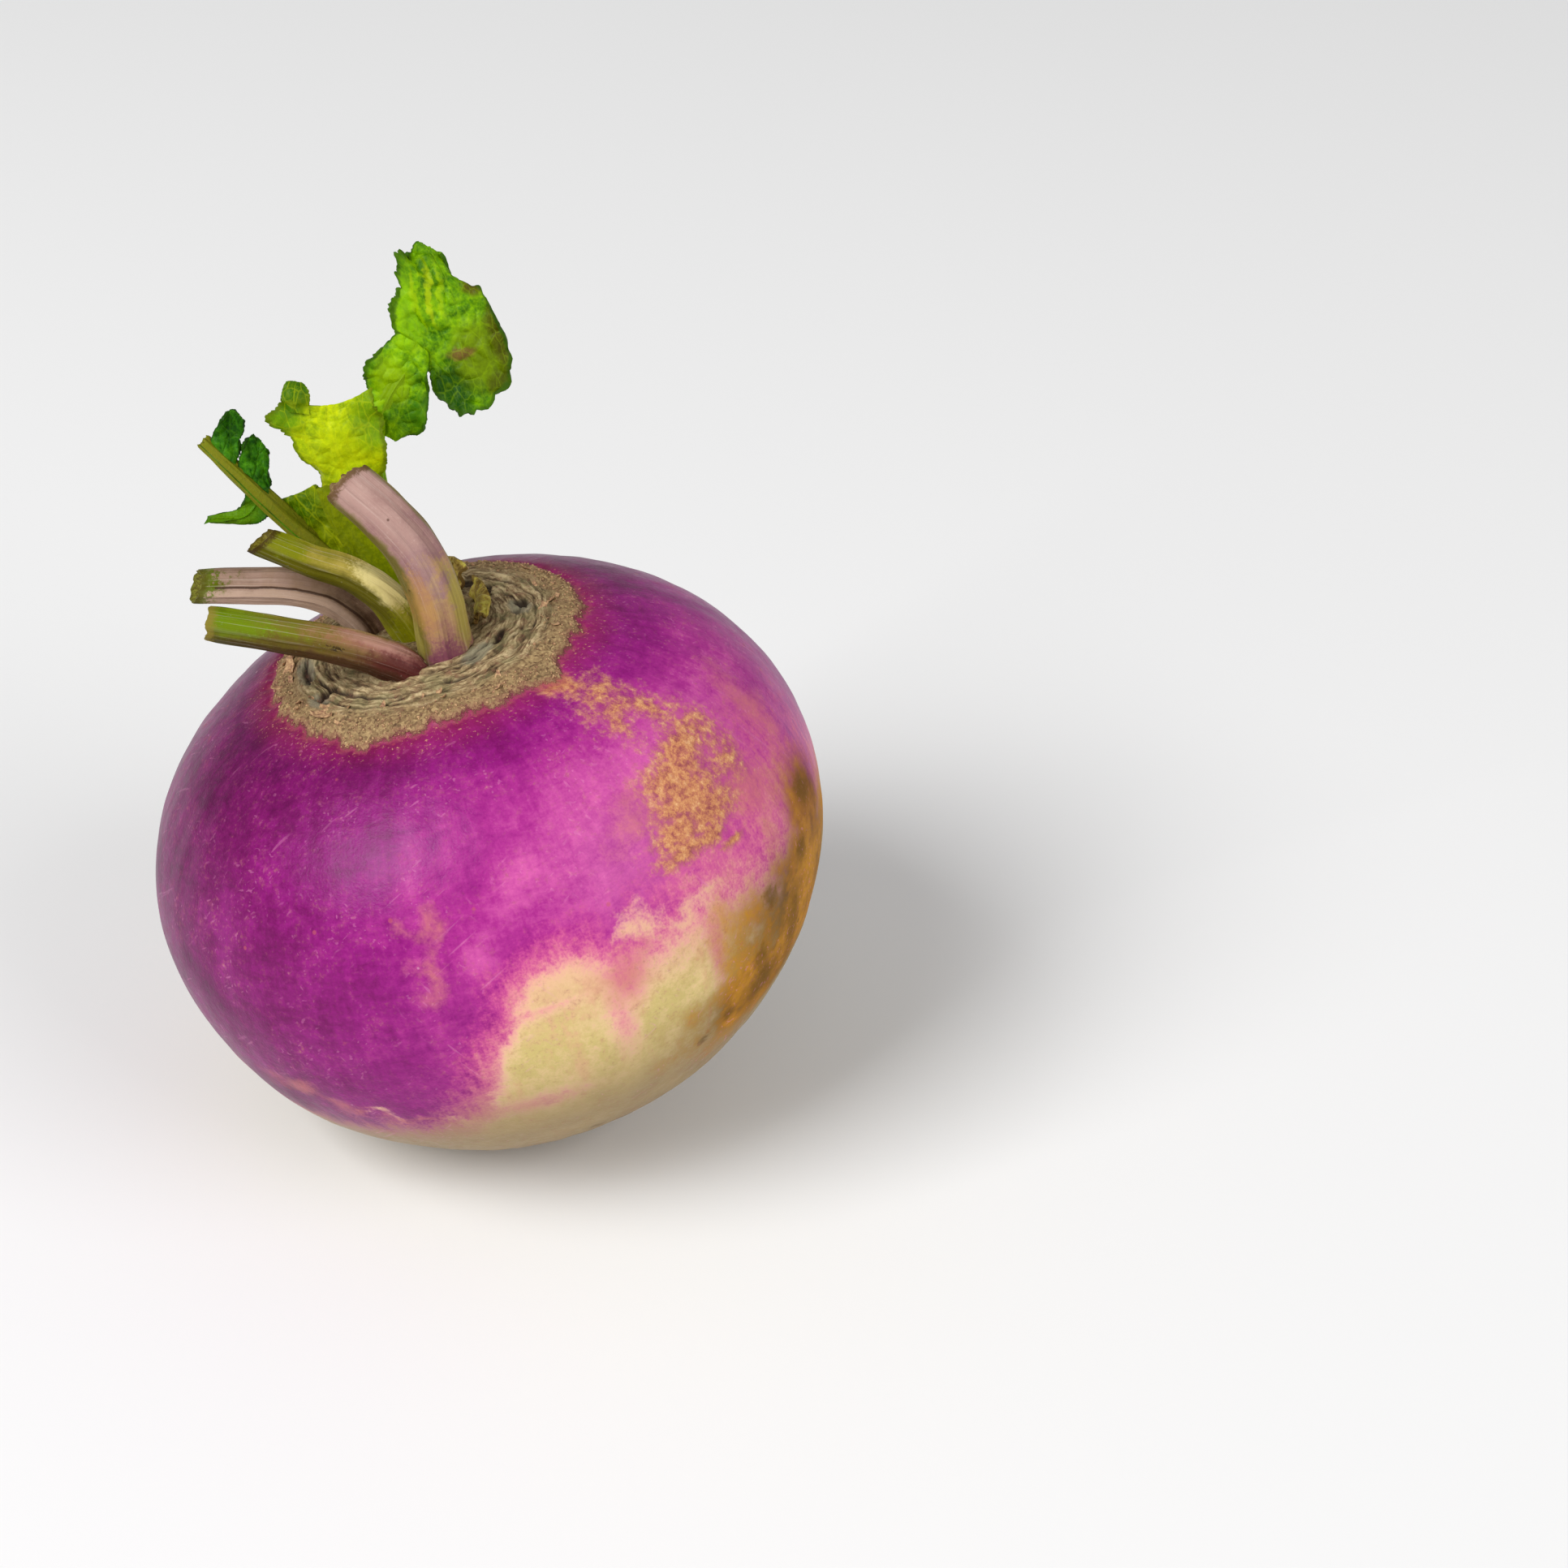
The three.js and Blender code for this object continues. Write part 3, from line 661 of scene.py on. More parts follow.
def carve_crown(vert, turn_degrees, radius):
    """The lift of a point on the crown. Its cork and scars are stored."""
    x, y, _ = vert.co
    edge = cork_edge(math.radians(turn_degrees))
    cork = soft_step(radius, edge + 0.25, edge - 0.25)
    arc, pit = arc_depth(x, y, radius, turn_degrees), pit_depth(x, y)
    shelf, seam = ridges(x, y, radius)
    plate = scar_plate(x, y)
    crumbs = max(0, lumps(vert.co, 0.55, 11)) + 0.5 * lumps(vert.co, 0.28, 12)
    fringe = bell(radius - edge + 1.6, 1.7)
    vert[layers["skirt"]] = soft_step(radius, edge + 1.9, edge - 1.3)
    vert[layers["scar"]] = min(1, 1.3 * arc + pit + 0.5 * seam)
    vert[layers["plate"]] = plate
    lift = cork * (0.12 + 0.22 * fringe * crumbs + 0.05 * lumps(vert.co, 0.5, 13))
    lift += cork * (shelf * (1 - 0.7 * plate) - arc - pit - 0.1 * seam)
    return lift - 0.3 * bell(radius - edge - 0.7, 0.7) * (1 - cork)


def tap_relief(vert, turn_angle, down, radius):
    """The lift of a point near the root tip: fine rays, and the rough face of the cut."""
    star = math.sin(11 * turn_angle + 2 * lumps(vert.co, 6, 15))
    rays = 0.1 * star * soft_step(down, 158, 172) * soft_step(radius, 1.2, 2.2)
    return rays + 0.3 * lumps(vert.co, 0.8, 16) * soft_step(radius, 2.4, 1.5)


print("soft fields:", ", ".join(FIELDS))

# %% [markdown]
# The colour fields come from the tables of patches. On a real root no patch is a neat oval, so
# for wear, thin scurf and stray cream the angles are first shifted a little by noise. The streaks,
# the ochre and the front's scurf were laid out closely enough to need no shift.

# %% Colour fields of a point
STRAY = 3
THIN_SHARE = 0.66
CREAM_PATCH_SHARE = 0.75
STREAK_SHARE = 0.6
PALE_STREAK_SHARE = 0.24


def store_colours(vert, turn_degrees, down, radius):
    """Stores the soft fields of the colours, and returns the one of the scurf."""
    strayed = (turn_degrees + STRAY * lumps(vert.co, 4, 17), down + STRAY * lumps(vert.co, 3, 18))
    thin = THIN_SHARE * closeness(*strayed, THIN_SCURF)
    scurf = max(closeness(turn_degrees, down, SCURF), thin)
    end, softness = purple_end(turn_degrees)
    streaked = closeness(turn_degrees, down, PURPLE_STREAKS)
    side = (turn_degrees - BLUSH_AND_SHEEN_TURN + 180) % 360 - 180
    vert[layers["scurf"]] = scurf
    vert[layers["worn"]] = closeness(*strayed, WORN)
    cream = soft_step(down - end, -softness, softness) * (1 - STREAK_SHARE * streaked)
    cream_patch = CREAM_PATCH_SHARE * closeness(*strayed, CREAM_PATCHES)
    vert[layers["cream"]] = max(cream, cream_patch)
    vert[layers["rose"]] = soft_step(down - end, -3.2 * softness, 1.2 * softness)
    vert[layers["ochre_and_shade"]] = closeness(turn_degrees, down, OCHRE_AND_SHADE)
    vert[layers["stain"]] = closeness(turn_degrees, down, STAINS)
    # Paler, pinker purple towards the right; over the front's sheen this is a painted highlight.
    blush_and_painted_sheen = bell(side, BLUSH_AND_SHEEN_WIDTH) * (0.35 + 0.65 * soft_step(down, 24, 52))
    pale_streak = PALE_STREAK_SHARE * closeness(turn_degrees, down, PALE_STREAK)
    vert[layers["blush_and_painted_sheen"]] = blush_and_painted_sheen + pale_streak
    vert[layers["tap"]] = 0 if vert.co.z > 0 else soft_step(radius, 7, 1.5)
    return scurf


print("shift of the patches' edges: up to", STRAY, "degrees")

# %% [markdown]
# The lift of each point is the sum of broad dents, furrows from the crown to the root tip, the
# crown's carving, the root tip's rays and the scurf's thin crust. A displacement modifier could do
# it, but then the crumbs and flakes would have no finished surface to lie on.

# %% Carve the root and store its fields
CROWN_REACH = 26
TIP_FROM = 150

for vert in root_bm.verts:
    down, turn_degrees, radius = where[vert.index]
    turn_angle = math.radians(turn_degrees)
    along_meridian = Vector((math.cos(turn_angle), math.sin(turn_angle), vert.co.z * 0.004))
    lift = 0.16 * lumps(vert.co, 15, 8) + 0.03 * lumps(vert.co, 3, 9)
    lift += 0.07 * lumps(along_meridian, 0.09, 10) * soft_step(down, 24, 50)
    if vert.co.z > 0 and radius < CROWN_REACH:
        lift += carve_crown(vert, turn_degrees, radius)
    if down > TIP_FROM:
        lift += tap_relief(vert, turn_angle, down, radius)
    scurf = store_colours(vert, turn_degrees, down, radius)
    lift += soft_step(scurf, 0.4, 0.6) * (0.08 + 0.1 * lumps(vert.co, 0.9, 14))
    vert.co += vert.normal * lift
root_tree = BVHTree.FromBMesh(root_bm)
print("deepest scar field:", round(max(v[layers["scar"]] for v in root_bm.verts), 2))

# %% [markdown]
# ## The root's skin
# One skin covers the whole root, so its purple, cream, scurf and cork are one material, as they
# are one growth. It could be painted on an image, but then it would be only as fine as the image.
# Here noise of several sizes breaks up the soft fields: streaks that follow the meridians where
# purple meets cream, grains for the scurf, and crumbs for the cork.

# %% Places and noises of the skin
skin = Paint("turnip_skin")
here = skin.place()
level = skin.add("ShaderNodeSeparateXYZ", {0: here}, "Z")
flat = skin.add("ShaderNodeVectorMath", {0: here, 1: (1, 1, 0)}, operation="MULTIPLY")
from_axis = skin.add("ShaderNodeVectorMath", {0: flat}, "Value", operation="LENGTH")
outward = skin.add("ShaderNodeVectorMath", {0: flat}, operation="NORMALIZE")
rise = skin.add("ShaderNodeCombineXYZ", {2: skin.math("MULTIPLY", level, 0.0035)})
meridian = skin.add("ShaderNodeVectorMath", {0: outward, 1: rise}, operation="ADD")

streak = skin.noise(meridian, 0.07, detail=4, roughness=0.6)
fine_streak = skin.noise(meridian, 0.018, detail=3)
blotch = skin.noise(here, 9, detail=6, roughness=0.6)
mottle = skin.noise(here, 1.3, detail=3, roughness=0.65)
speckle = skin.noise(here, 0.35, detail=2, roughness=0.6)
fibre = skin.noise(skin.stretch(here, 0.5, 0.5, 1.3), 1.6, detail=5, roughness=0.65, warp=0.6)
print("noises ready for the skin, with", len(skin.tree.nodes), "nodes")

# %% [markdown]
# The purple is a pigment in a thin outer layer. Where the layer is thin the pale flesh shines
# through, so one value stands for its depth and a ramp turns it into dark wine, violet or pink.
# Each noise adds its own share to the depth, which looks more alive than mixing flat colours.

# %% Purple
# This stored field is partly the skin's own paler tone and partly a painted highlight where the
# window's sheen falls.
depth_of_purple = skin.math("MULTIPLY_ADD", skin.field("blush_and_painted_sheen"), 0.6, 0.33)
depth_of_purple = skin.vary(depth_of_purple, blotch, 0.52)
depth_of_purple = skin.vary(depth_of_purple, fibre, 0.34)
depth_of_purple = skin.vary(depth_of_purple, mottle, 0.2)
depth_of_purple = skin.vary(depth_of_purple, streak, 0.2)
depth_of_purple = skin.vary(depth_of_purple, fine_streak, 0.14)
depth_of_purple = skin.vary(depth_of_purple, speckle, 0.16)
purple = skin.ramp(
    depth_of_purple,
    [
        (0.26, srgb(84, 4, 64)),
        (0.44, srgb(114, 10, 90)),
        (0.6, srgb(140, 22, 116)),
        (0.76, srgb(166, 44, 134)),
        (1.0, srgb(204, 88, 160)),
    ],
)
print("purple in", len(purple.node.color_ramp.elements), "steps")

# %% [markdown]
# Towards the cream the purple pales to rose, then to a warm cream, and on the underside a painted
# shade darkens it to grey-brown. The soft field says where the change is, and noise frays it into
# streaks and specks. A hard line would be simpler, but no turnip has one.

# %% Rose and cream
rosy = skin.vary(skin.field("rose"), blotch, 0.9)
rosy = skin.vary(rosy, mottle, 0.5)
rosy = skin.vary(rosy, fine_streak, 0.4)
rosy = skin.vary(rosy, speckle, 0.4)
rose = skin.ramp(
    rosy, [(0.3, srgb(184, 44, 132)), (0.6, srgb(208, 92, 142)), (0.95, srgb(232, 152, 150))]
)
two_tone = skin.mix(skin.between(rosy, 0.2, 0.75, 0.85), purple, rose)
creaminess = skin.vary(skin.field("cream"), streak, 0.25)
creaminess = skin.vary(creaminess, blotch, 0.8)
creaminess = skin.vary(creaminess, mottle, 0.6)
creaminess = skin.vary(creaminess, speckle, 0.3)
pale = skin.ramp(
    creaminess,
    [
        (0.38, srgb(244, 178, 166)),
        (0.6, srgb(238, 192, 158)),
        (0.82, srgb(224, 194, 140)),
        (1.0, srgb(208, 188, 118)),
    ],
)
blushed = skin.between(skin.vary(streak, mottle, 0.5), 0.5, 0.72, 0.4)
pale = skin.mix(blushed, pale, srgb(232, 162, 146))
sunned = skin.between(skin.math("MULTIPLY_ADD", mottle, 12, level), -1, 10, 0.6)
pale = skin.mix(sunned, pale, srgb(226, 174, 144))
two_tone = skin.mix(skin.between(creaminess, 0.24, 0.82), two_tone, pale)
# Painted shade: the rose and cream are darkened to grey-brown towards the underside.
painted_underside_shade = skin.vary(skin.between(level, -4, -24, 0.95), blotch, 0.5)
painted_underside_shade = skin.math("MULTIPLY", painted_underside_shade, skin.between(rosy, 0.2, 0.75))
two_tone = skin.mix(painted_underside_shade, two_tone, srgb(146, 122, 80))
print("two tones mixed")

# %% [markdown]
# Small marks make skin believable. Low on the right the skin turns ochre: partly a stain from the
# soil, partly painted shade and a painted reflection, with dark brown stains in it. Where the root
# rubbed against stones the purple is worn to a dull rose. Brown breathing pores dot the cream, and
# reddish specks and pale nicks the purple.

# %% Marks on the skin
# A real soil stain mixed with painted shade and a painted reflection: the ochre low on the right.
ochre_and_shade = skin.vary(skin.field("ochre_and_shade"), blotch, 0.9)
ochre_and_shade = skin.vary(ochre_and_shade, mottle, 0.12)
ochre_and_shade_tone = skin.ramp(
    skin.vary(blotch, mottle, 0.3),
    [(0.35, srgb(92, 60, 0)), (0.5, srgb(142, 92, 0)), (0.66, srgb(182, 124, 12))],
)
soiled_and_shaded = skin.between(ochre_and_shade, 0.24, 0.76, 0.94)
marked = skin.mix(soiled_and_shaded, two_tone, ochre_and_shade_tone)
stain = skin.vary(skin.field("stain"), mottle, 0.9)
marked = skin.mix(skin.between(stain, 0.4, 0.85, 0.7), marked, srgb(92, 64, 0))
worn = skin.vary(skin.field("worn"), mottle, 0.6)
worn = skin.vary(worn, speckle, 0.35)
worn = skin.vary(worn, blotch, 0.5)
marked = skin.mix(skin.between(worn, 0.3, 1.15, 0.7), marked, srgb(200, 116, 112))

pores = skin.dots(here, 5.5, 0.36, 0.3)
pores = skin.math("MULTIPLY", pores, skin.between(creaminess, 0.4, 0.7, 0.7))
marked = skin.mix(pores, marked, srgb(112, 82, 26))
reddish = skin.dots(here, 2.6, 0.3, 0.1)
reddish = skin.math("MULTIPLY", reddish, skin.between(creaminess, 0.6, 0.3, 0.5))
marked = skin.mix(reddish, marked, srgb(186, 86, 92))
nicks = skin.dots(here, 3.1, 0.17, 0.03)
nicks = skin.math("MULTIPLY", nicks, skin.between(creaminess, 0.6, 0.3, 0.4))
marked = skin.mix(nicks, marked, srgb(222, 176, 186))
print("marks added")

# %% [markdown]
# Long faint scratches run over the purple in a few directions, from handling and washing. Each
# could be a thin curve, but noise that is drawn out very long in one direction gives dozens at
# once. Only its highest crests are kept, and only where the broad blotches allow it.

# %% Scratches
SCRATCH_TURNS = ((0.3, 0.5, 0.9), (1.2, -0.4, 2.1), (-0.7, 0.2, -0.5))

scratches = 0.0
for number, angles in enumerate(SCRATCH_TURNS):
    turned = skin.add("ShaderNodeMapping", {0: here, 1: (number, 0, 0), 2: angles})
    drawn = skin.noise(skin.stretch(turned, 0.09, 1.7, 1.7), 1.0, detail=1)
    scratches = skin.math("MAXIMUM", scratches, skin.between(drawn, 0.68, 0.76))
visible = skin.math("MULTIPLY", scratches, skin.between(blotch, 0.4, 0.6, 0.24))
marked = skin.mix(visible, marked, srgb(226, 142, 184))
print("scratches in", len(SCRATCH_TURNS), "directions")

# %% [markdown]
# Scurf is a crust of dead cork cells. It isn't a flat stain: a thin haze dulls the purple first,
# and over it lie crumbs and strands of tan crust, light and dark, with gaps between them. A net of
# cells, bent by noise, gives the strands, and rough noise gives the crumbs.

# %% Scurf
warp = skin.add("ShaderNodeTexNoise", {"Vector": here, "Scale": 0.9, "Detail": 2}, "Color")
warped = skin.add(
    "ShaderNodeVectorMath", {0: warp, 1: (1.6, 1.6, 1.6), 2: here}, operation="MULTIPLY_ADD"
)
strand_gap = skin.cells(warped, 1.9, feature="DISTANCE_TO_EDGE")
strands = skin.between(strand_gap, 0.3, 0.04)
crust = skin.noise(here, 0.8, detail=4, roughness=0.75)
scurf = skin.vary(skin.field("scurf"), blotch, 0.7)
scurf = skin.vary(scurf, mottle, 0.7)
scurf = skin.vary(scurf, crust, 0.6)
scurf = skin.math("MULTIPLY_ADD", strands, 0.2, scurf)
scurf_here = skin.between(scurf, 0.28, 0.9, 0.82)
scurf_tan = skin.ramp(
    skin.vary(crust, mottle, 0.5),
    [
        (0.3, srgb(136, 66, 66)),
        (0.4, srgb(168, 98, 78)),
        (0.5, srgb(198, 134, 86)),
        (0.6, srgb(214, 156, 98)),
        (0.74, srgb(236, 188, 134)),
    ],
)
haze = skin.between(skin.vary(skin.field("scurf"), crust, 0.8), 0.12, 0.66, 0.76)
thick = skin.between(skin.vary(skin.field("scurf"), mottle, 0.4), 0.45, 0.8)
haze_tone = skin.mix(thick, srgb(170, 78, 110), srgb(188, 118, 88))
marked = skin.mix(haze, marked, haze_tone)
marked = skin.mix(scurf_here, marked, scurf_tan)
print("scurf added")

# %% [markdown]
# The cork changes from rim to middle. At the rim it is loose crumbs of tan and orange. Further in
# it is smooth and grey-tan with fine lines that run round, so its noise is read in rings: slow
# along the ring and quick across it. Between the stalks it is darkened to brown-olive with painted
# shade.

# %% Smooth cork inside
wobble = skin.noise(here, 4.0, detail=2)
ring_place = skin.vary(from_axis, wobble, 2.4)
ring_turn = skin.add("ShaderNodeVectorMath", {0: outward, 1: (1.7, 1.7, 0)}, operation="MULTIPLY")
ring_height = skin.add("ShaderNodeCombineXYZ", {2: ring_place})
ring_spot = skin.add("ShaderNodeVectorMath", {0: ring_turn, 1: ring_height}, operation="ADD")
ring_grain = skin.noise(ring_spot, 0.42, detail=4, roughness=0.6)
crumb = skin.noise(here, 0.5, detail=4, roughness=0.7)
bark = skin.noise(here, 2.6, detail=3)
smooth_cork = skin.ramp(
    skin.vary(ring_grain, crumb, 0.35),
    [
        (0.3, srgb(48, 36, 26)),
        (0.4, srgb(106, 86, 60)),
        (0.52, srgb(154, 132, 96)),
        (0.66, srgb(206, 184, 142)),
    ],
)
smooth_cork = skin.mix(skin.between(bark, 0.46, 0.62, 0.34), smooth_cork, srgb(124, 124, 84))
print("smooth cork mixed")

# %% [markdown]
# The rim's crumbs are small cells, each with its own lightness, and fine noise shades them. Cells
# alone look like mosaic, and noise alone looks like felt, so the two are added.

# %% Crumbly cork at the rim
granule = skin.cells(here, 0.34, "Color")
granule = skin.add("ShaderNodeSeparateColor", {0: granule})
crumbly = skin.ramp(
    skin.vary(skin.math("MULTIPLY_ADD", granule, 0.6, 0.2), crumb, 1.0),
    [
        (0.05, srgb(84, 62, 44)),
        (0.3, srgb(128, 102, 72)),
        (0.6, srgb(156, 130, 92)),
        (0.9, srgb(182, 154, 110)),
        (1.0, srgb(212, 188, 144)),
    ],
)
print("crumbly cork mixed")

# %% [markdown]
# Now the two corks are joined by their distance from the axis, and the scars, pits and plates that
# were carved get their colours from the stored fields, so that shape and colour agree. The cork's
# edge on the skin is frayed by the same crumbs.

# %% Cork on the crown
rim_share = skin.between(skin.vary(from_axis, mottle, 3), 16.2, 18.6)
cork = skin.mix(rim_share, smooth_cork, crumbly)
# Painted shade: the middle of the crown, between the stalks' feet, is darkened to brown-olive.
painted_shade_between_stalks = skin.between(skin.vary(from_axis, mottle, 3), 11.5, 7.5, 0.6)
cork = skin.mix(painted_shade_between_stalks, cork, srgb(84, 68, 34))
cork = skin.mix(skin.math("MULTIPLY", skin.field("plate"), 0.6), cork, srgb(134, 132, 114))
stitches = skin.dots(skin.stretch(ring_spot, 4.2, 4.2, 1.3), 0.9, 0.2, 0.5)
cork = skin.mix(skin.math("MULTIPLY", stitches, 0.6), cork, srgb(62, 48, 34))
scar = skin.vary(skin.field("scar"), crumb, 0.5)
cork = skin.mix(skin.between(scar, 0.14, 0.9, 0.9), cork, srgb(52, 38, 32))
edge_of_cork = skin.vary(skin.field("skirt"), crumb, 0.9)
edge_of_cork = skin.vary(edge_of_cork, mottle, 0.5)
cork_here = skin.between(edge_of_cork, 0.36, 0.66)
outer_rim = skin.between(skin.vary(edge_of_cork, mottle, 0.5), 1.0, 0.6, 0.6)
cork = skin.mix(outer_rim, cork, srgb(150, 104, 84))
dusty = skin.between(skin.vary(edge_of_cork, blotch, 0.3), 0.0, 0.4, 0.6)
marked = skin.mix(dusty, marked, srgb(156, 84, 90))
marked = skin.mix(cork_here, marked, cork)
print("cork added")

# %% [markdown]
# Just outside the cork the skin is redder and has caught stray crumbs. At the root tip the cut
# face is brown and fibrous.

# %% Around the cork and at the root tip
near_cork = skin.between(from_axis, 26.5, 21.5)
near_cork = skin.math("MULTIPLY", near_cork, skin.between(level, 10, 16))
near_cork = skin.math("SUBTRACT", near_cork, skin.math("MULTIPLY", cork_here, near_cork))
marked = skin.mix(skin.math("MULTIPLY", near_cork, 0.3), marked, srgb(166, 46, 74))
stray = skin.math("MULTIPLY", skin.between(crumb, 0.6, 0.68), near_cork)
marked = skin.mix(stray, marked, srgb(200, 146, 112))
tap = skin.vary(skin.field("tap"), crumb, 0.9)
marked = skin.mix(skin.between(tap, 0.35, 0.9), marked, srgb(128, 92, 54))
print("edges of the cork blended")

# %% [markdown]
# Turnip skin is waxy and shines softly, while cork, scurf and soiled skin are dull. So roughness
# follows the same masks as the colours. The finest grain is a bump, because it is much finer than
# the mesh. A low IOR keeps the mirror layer weak, so that the purple stays deep.

# %% Gloss and grain of the skin
SKIN_IOR = 1.25

rough_parts = skin.math("MAXIMUM", cork_here, scurf_here)
gloss = skin.math("MULTIPLY_ADD", skin.math("MAXIMUM", rough_parts, soiled_and_shaded), 0.45, 0.34)
gloss = skin.vary(gloss, mottle, 0.25)
height = skin.math("MULTIPLY", speckle, 0.03)
height = skin.math("MULTIPLY_ADD", mottle, 0.05, height)
height = skin.math("MULTIPLY_ADD", skin.math("MULTIPLY", crumb, rough_parts), 0.14, height)
height = skin.math("MULTIPLY_ADD", skin.math("MULTIPLY", ring_grain, cork_here), 0.22, height)
height = skin.math("MULTIPLY_ADD", pores, -0.06, height)
height = skin.math("MULTIPLY_ADD", visible, -0.04, height)
skin_finish = skin.finish(marked, gloss, height, IOR=SKIN_IOR)
finish_piece("turnip_root", root_bm, skin_finish, replaces="root")

# %% [markdown]
# ## Cut leaf stalks
# Four stalks were cut short with a knife. Each is wider than deep, has a channel on the side that
# faces the plant's middle, and flares at its foot. A curve with a bevel could give the bend but not
# the channel or the cut. So each starts as a cylinder, cut into many rings with subdivide_edges,
# its top face inset into the rim and pith of the cut, and then every ring is laid along the path.

# %% A straight stalk
STALK_SIDES = 56
STALK_RINGS = 84
PITH_INSETS = ((0.1, 0), (0.12, -0.004), (0.25, -0.006), (0.3, 0.002))


def straight_stalk():
    """A closed rod one unit high and round its axis, with rings enough to bend and a cut top."""
    bm = bmesh.new()
    bmesh.ops.create_cone(
        bm, cap_ends=True, segments=STALK_SIDES, radius1=1, radius2=1, depth=1
    )
    upright = [e for e in bm.edges if abs(e.verts[0].co.z - e.verts[1].co.z) > 0.5]
    bmesh.ops.subdivide_edges(bm, edges=upright, cuts=STALK_RINGS, use_grid_fill=True)
    top = max(bm.faces, key=lambda face: face.calc_center_median().z)
    for thickness, depth in PITH_INSETS:
        bmesh.ops.inset_region(bm, faces=[top], thickness=thickness, depth=depth)
    bmesh.ops.poke(bm, faces=[top])
    return bm


print("rings of a stalk:", STALK_RINGS + 2, "with", STALK_SIDES, "points each")

# %% [markdown]
# Bending is done ring by ring. Each ring finds its middle on the smooth path, turns square to it,
# and gets its width, depth, channel, ribs and slanted cut there. A Curve modifier could bend the
# rod, but it can't taper or rib it. How far along and round each point lies is stored, so that
# the material's fibres can follow the bend.

# %% Bend a stalk along its path
SHARED_FIELDS = ("along", "across", "facing", "cut", "vein", "edge")


def ring_frame(path, along, facing):
    """(middle, direction, side, face) of a stalk that far along its path."""
    ahead, behind = through(path, min(along + 0.01, 1)), through(path, max(along - 0.01, 0))
    tangent = (ahead - behind).normalized()
    side = tangent.cross(Vector(facing)).normalized()
    return through(path, along), tangent, side, side.cross(tangent).normalized()


def bent_stalk(
    path, width, depth, channel, facing, flare, slant, ribs=0.1, seed=1, ragged=0.3, arch=0
):
    """The stalk in the plant's frame, with how far along and round it each point is stored."""
    bm = straight_stalk()
    along_of, across_of, facing_of, cut_of, _, _ = (
        bm.verts.layers.float.new(name) for name in SHARED_FIELDS
    )
    rings = {}
    for vert in bm.verts:
        along = min(max(vert.co.z + 0.5, 0), 1)
        key = round(along, 4)
        if key not in rings:
            rings[key] = ring_frame(path, along, facing)
        middle, tangent, side, face = rings[key]
        x, y = vert.co.x, vert.co.y
        from_middle = math.hypot(x, y)
        swell = 1 + flare * math.exp(-along / 0.15)
        half_width = (width[0] + (width[1] - width[0]) * along) / 2 * swell
        half_depth = (depth[0] + (depth[1] - depth[0]) * along) / 2
        dip = 1 - channel * bell(x / max(from_middle, 0.01), 0.45) if y > 0 else 1
        angle = math.atan2(y, x)
        rib = ribs * (math.sin(9 * angle + seed) + 0.6 * math.sin(17 * angle + 2 * seed))
        rib += 0.09 * lumps((3 * x, 3 * y, along * 5), 0.6, seed)
        rib *= from_middle * soft_step(along, 1.02, 0.96)
        cut = slant[0] * x * half_width + slant[1] * y * half_depth + arch * x * x
        tear = ragged * lumps((2.5 * x, 2.5 * y, 0), 0.8, seed + 3) * soft_step(along, 0.97, 1)
        lift = (vert.co.z - 0.5) * 60 if vert.co.z > 0.5 or from_middle < 0.93 else 0
        vert.co = (
            middle
            + side * x * (half_width + rib)
            + face * y * dip * (half_depth + rib)
            + tangent * (lift + tear - cut * soft_step(along, 0.75, 1))
        )
        vert[along_of], vert[across_of], vert[facing_of] = along, x, y
        vert[cut_of] = soft_step(from_middle, 0.97, 0.8) if along > 0.98 else 0
    return bm


print("fields stored on each stalk:", ", ".join(SHARED_FIELDS))

# %% [markdown]
# The four stalks differ in bend, thickness and cut, so each has its own row of values. The points
# of a path were placed so that, from the camera, its outline falls where the photograph shows it.
# A width or depth is given at the foot and at the cut, all in millimetres.

# %% Shapes of the four stalks
STALKS = {
    "left_front": dict(
        path=[
            (-0.6, -8.6, 28.5), (-1.8, -9.3, 33.2), (-4.4, -10, 36), (-8.6, -11, 39.2),
            (-15.1, -12, 42.9), (-22.4, -13, 46.8),
        ],
        width=(6, 5.4), depth=(5.6, 4.8), channel=0.3, facing=(0.2, 0.6, 1), flare=0.15,
        slant=(0.1, 0), seed=2,
    ),
    "front_right": dict(
        path=[
            (3.4, -5.5, 28), (4.2, -6.8, 34), (5, -7.3, 41), (4.2, -7.2, 47.8),
            (1.9, -6.8, 53.2), (-1.9, -6, 59.1),
        ],
        width=(7.4, 6.4), depth=(6.2, 5), channel=0.35, facing=(-0.8, 1, 0.1), flare=0.1,
        slant=(-0.15, 0.1), seed=5, arch=1.1, ragged=0.5,
    ),
    "middle": dict(
        path=[
            (0.4, -2, 29), (-0.8, -2.6, 35), (-2.4, -3.2, 40.6), (-5.5, -3.7, 44.8),
            (-10.1, -4.3, 48.4), (-14.6, -5, 52.5),
        ],
        width=(6.2, 4.6), depth=(5.4, 4.2), channel=0.3, facing=(0.6, 0.6, 0.8), flare=0.1,
        slant=(0, 0.5), seed=8,
    ),
    "left_back": dict(
        path=[
            (-5, 1, 29), (-6.4, 0.2, 35.5), (-9.4, -0.5, 40.1), (-13.6, -0.9, 42.7),
            (-19.5, -1, 44.4), (-26.2, -1, 45.8),
        ],
        width=(5.4, 4.4), depth=(5, 4), channel=0.45, facing=(0.2, -0.8, 0.8), flare=0.15,
        slant=(0.1, 0.5), seed=11,
    ),
}
print("stalks to bend:", list(STALKS))

# %% [markdown]
# A stalk's colour runs in long fibres and changes from its foot to its cut: mauve below, green or
# mauve-grey above. Its underside is darker olive, and that darkening is painted shade; some patches
# are painted highlights where light falls on its back. The knife cut has dried to a brown rim round
# a paler pith. The fibres need a pattern that follows the bend, so they read the stored fields.

# %% Stalk finish
STALK_IOR = 1.22
STALK_ROUGHNESS = 0.46


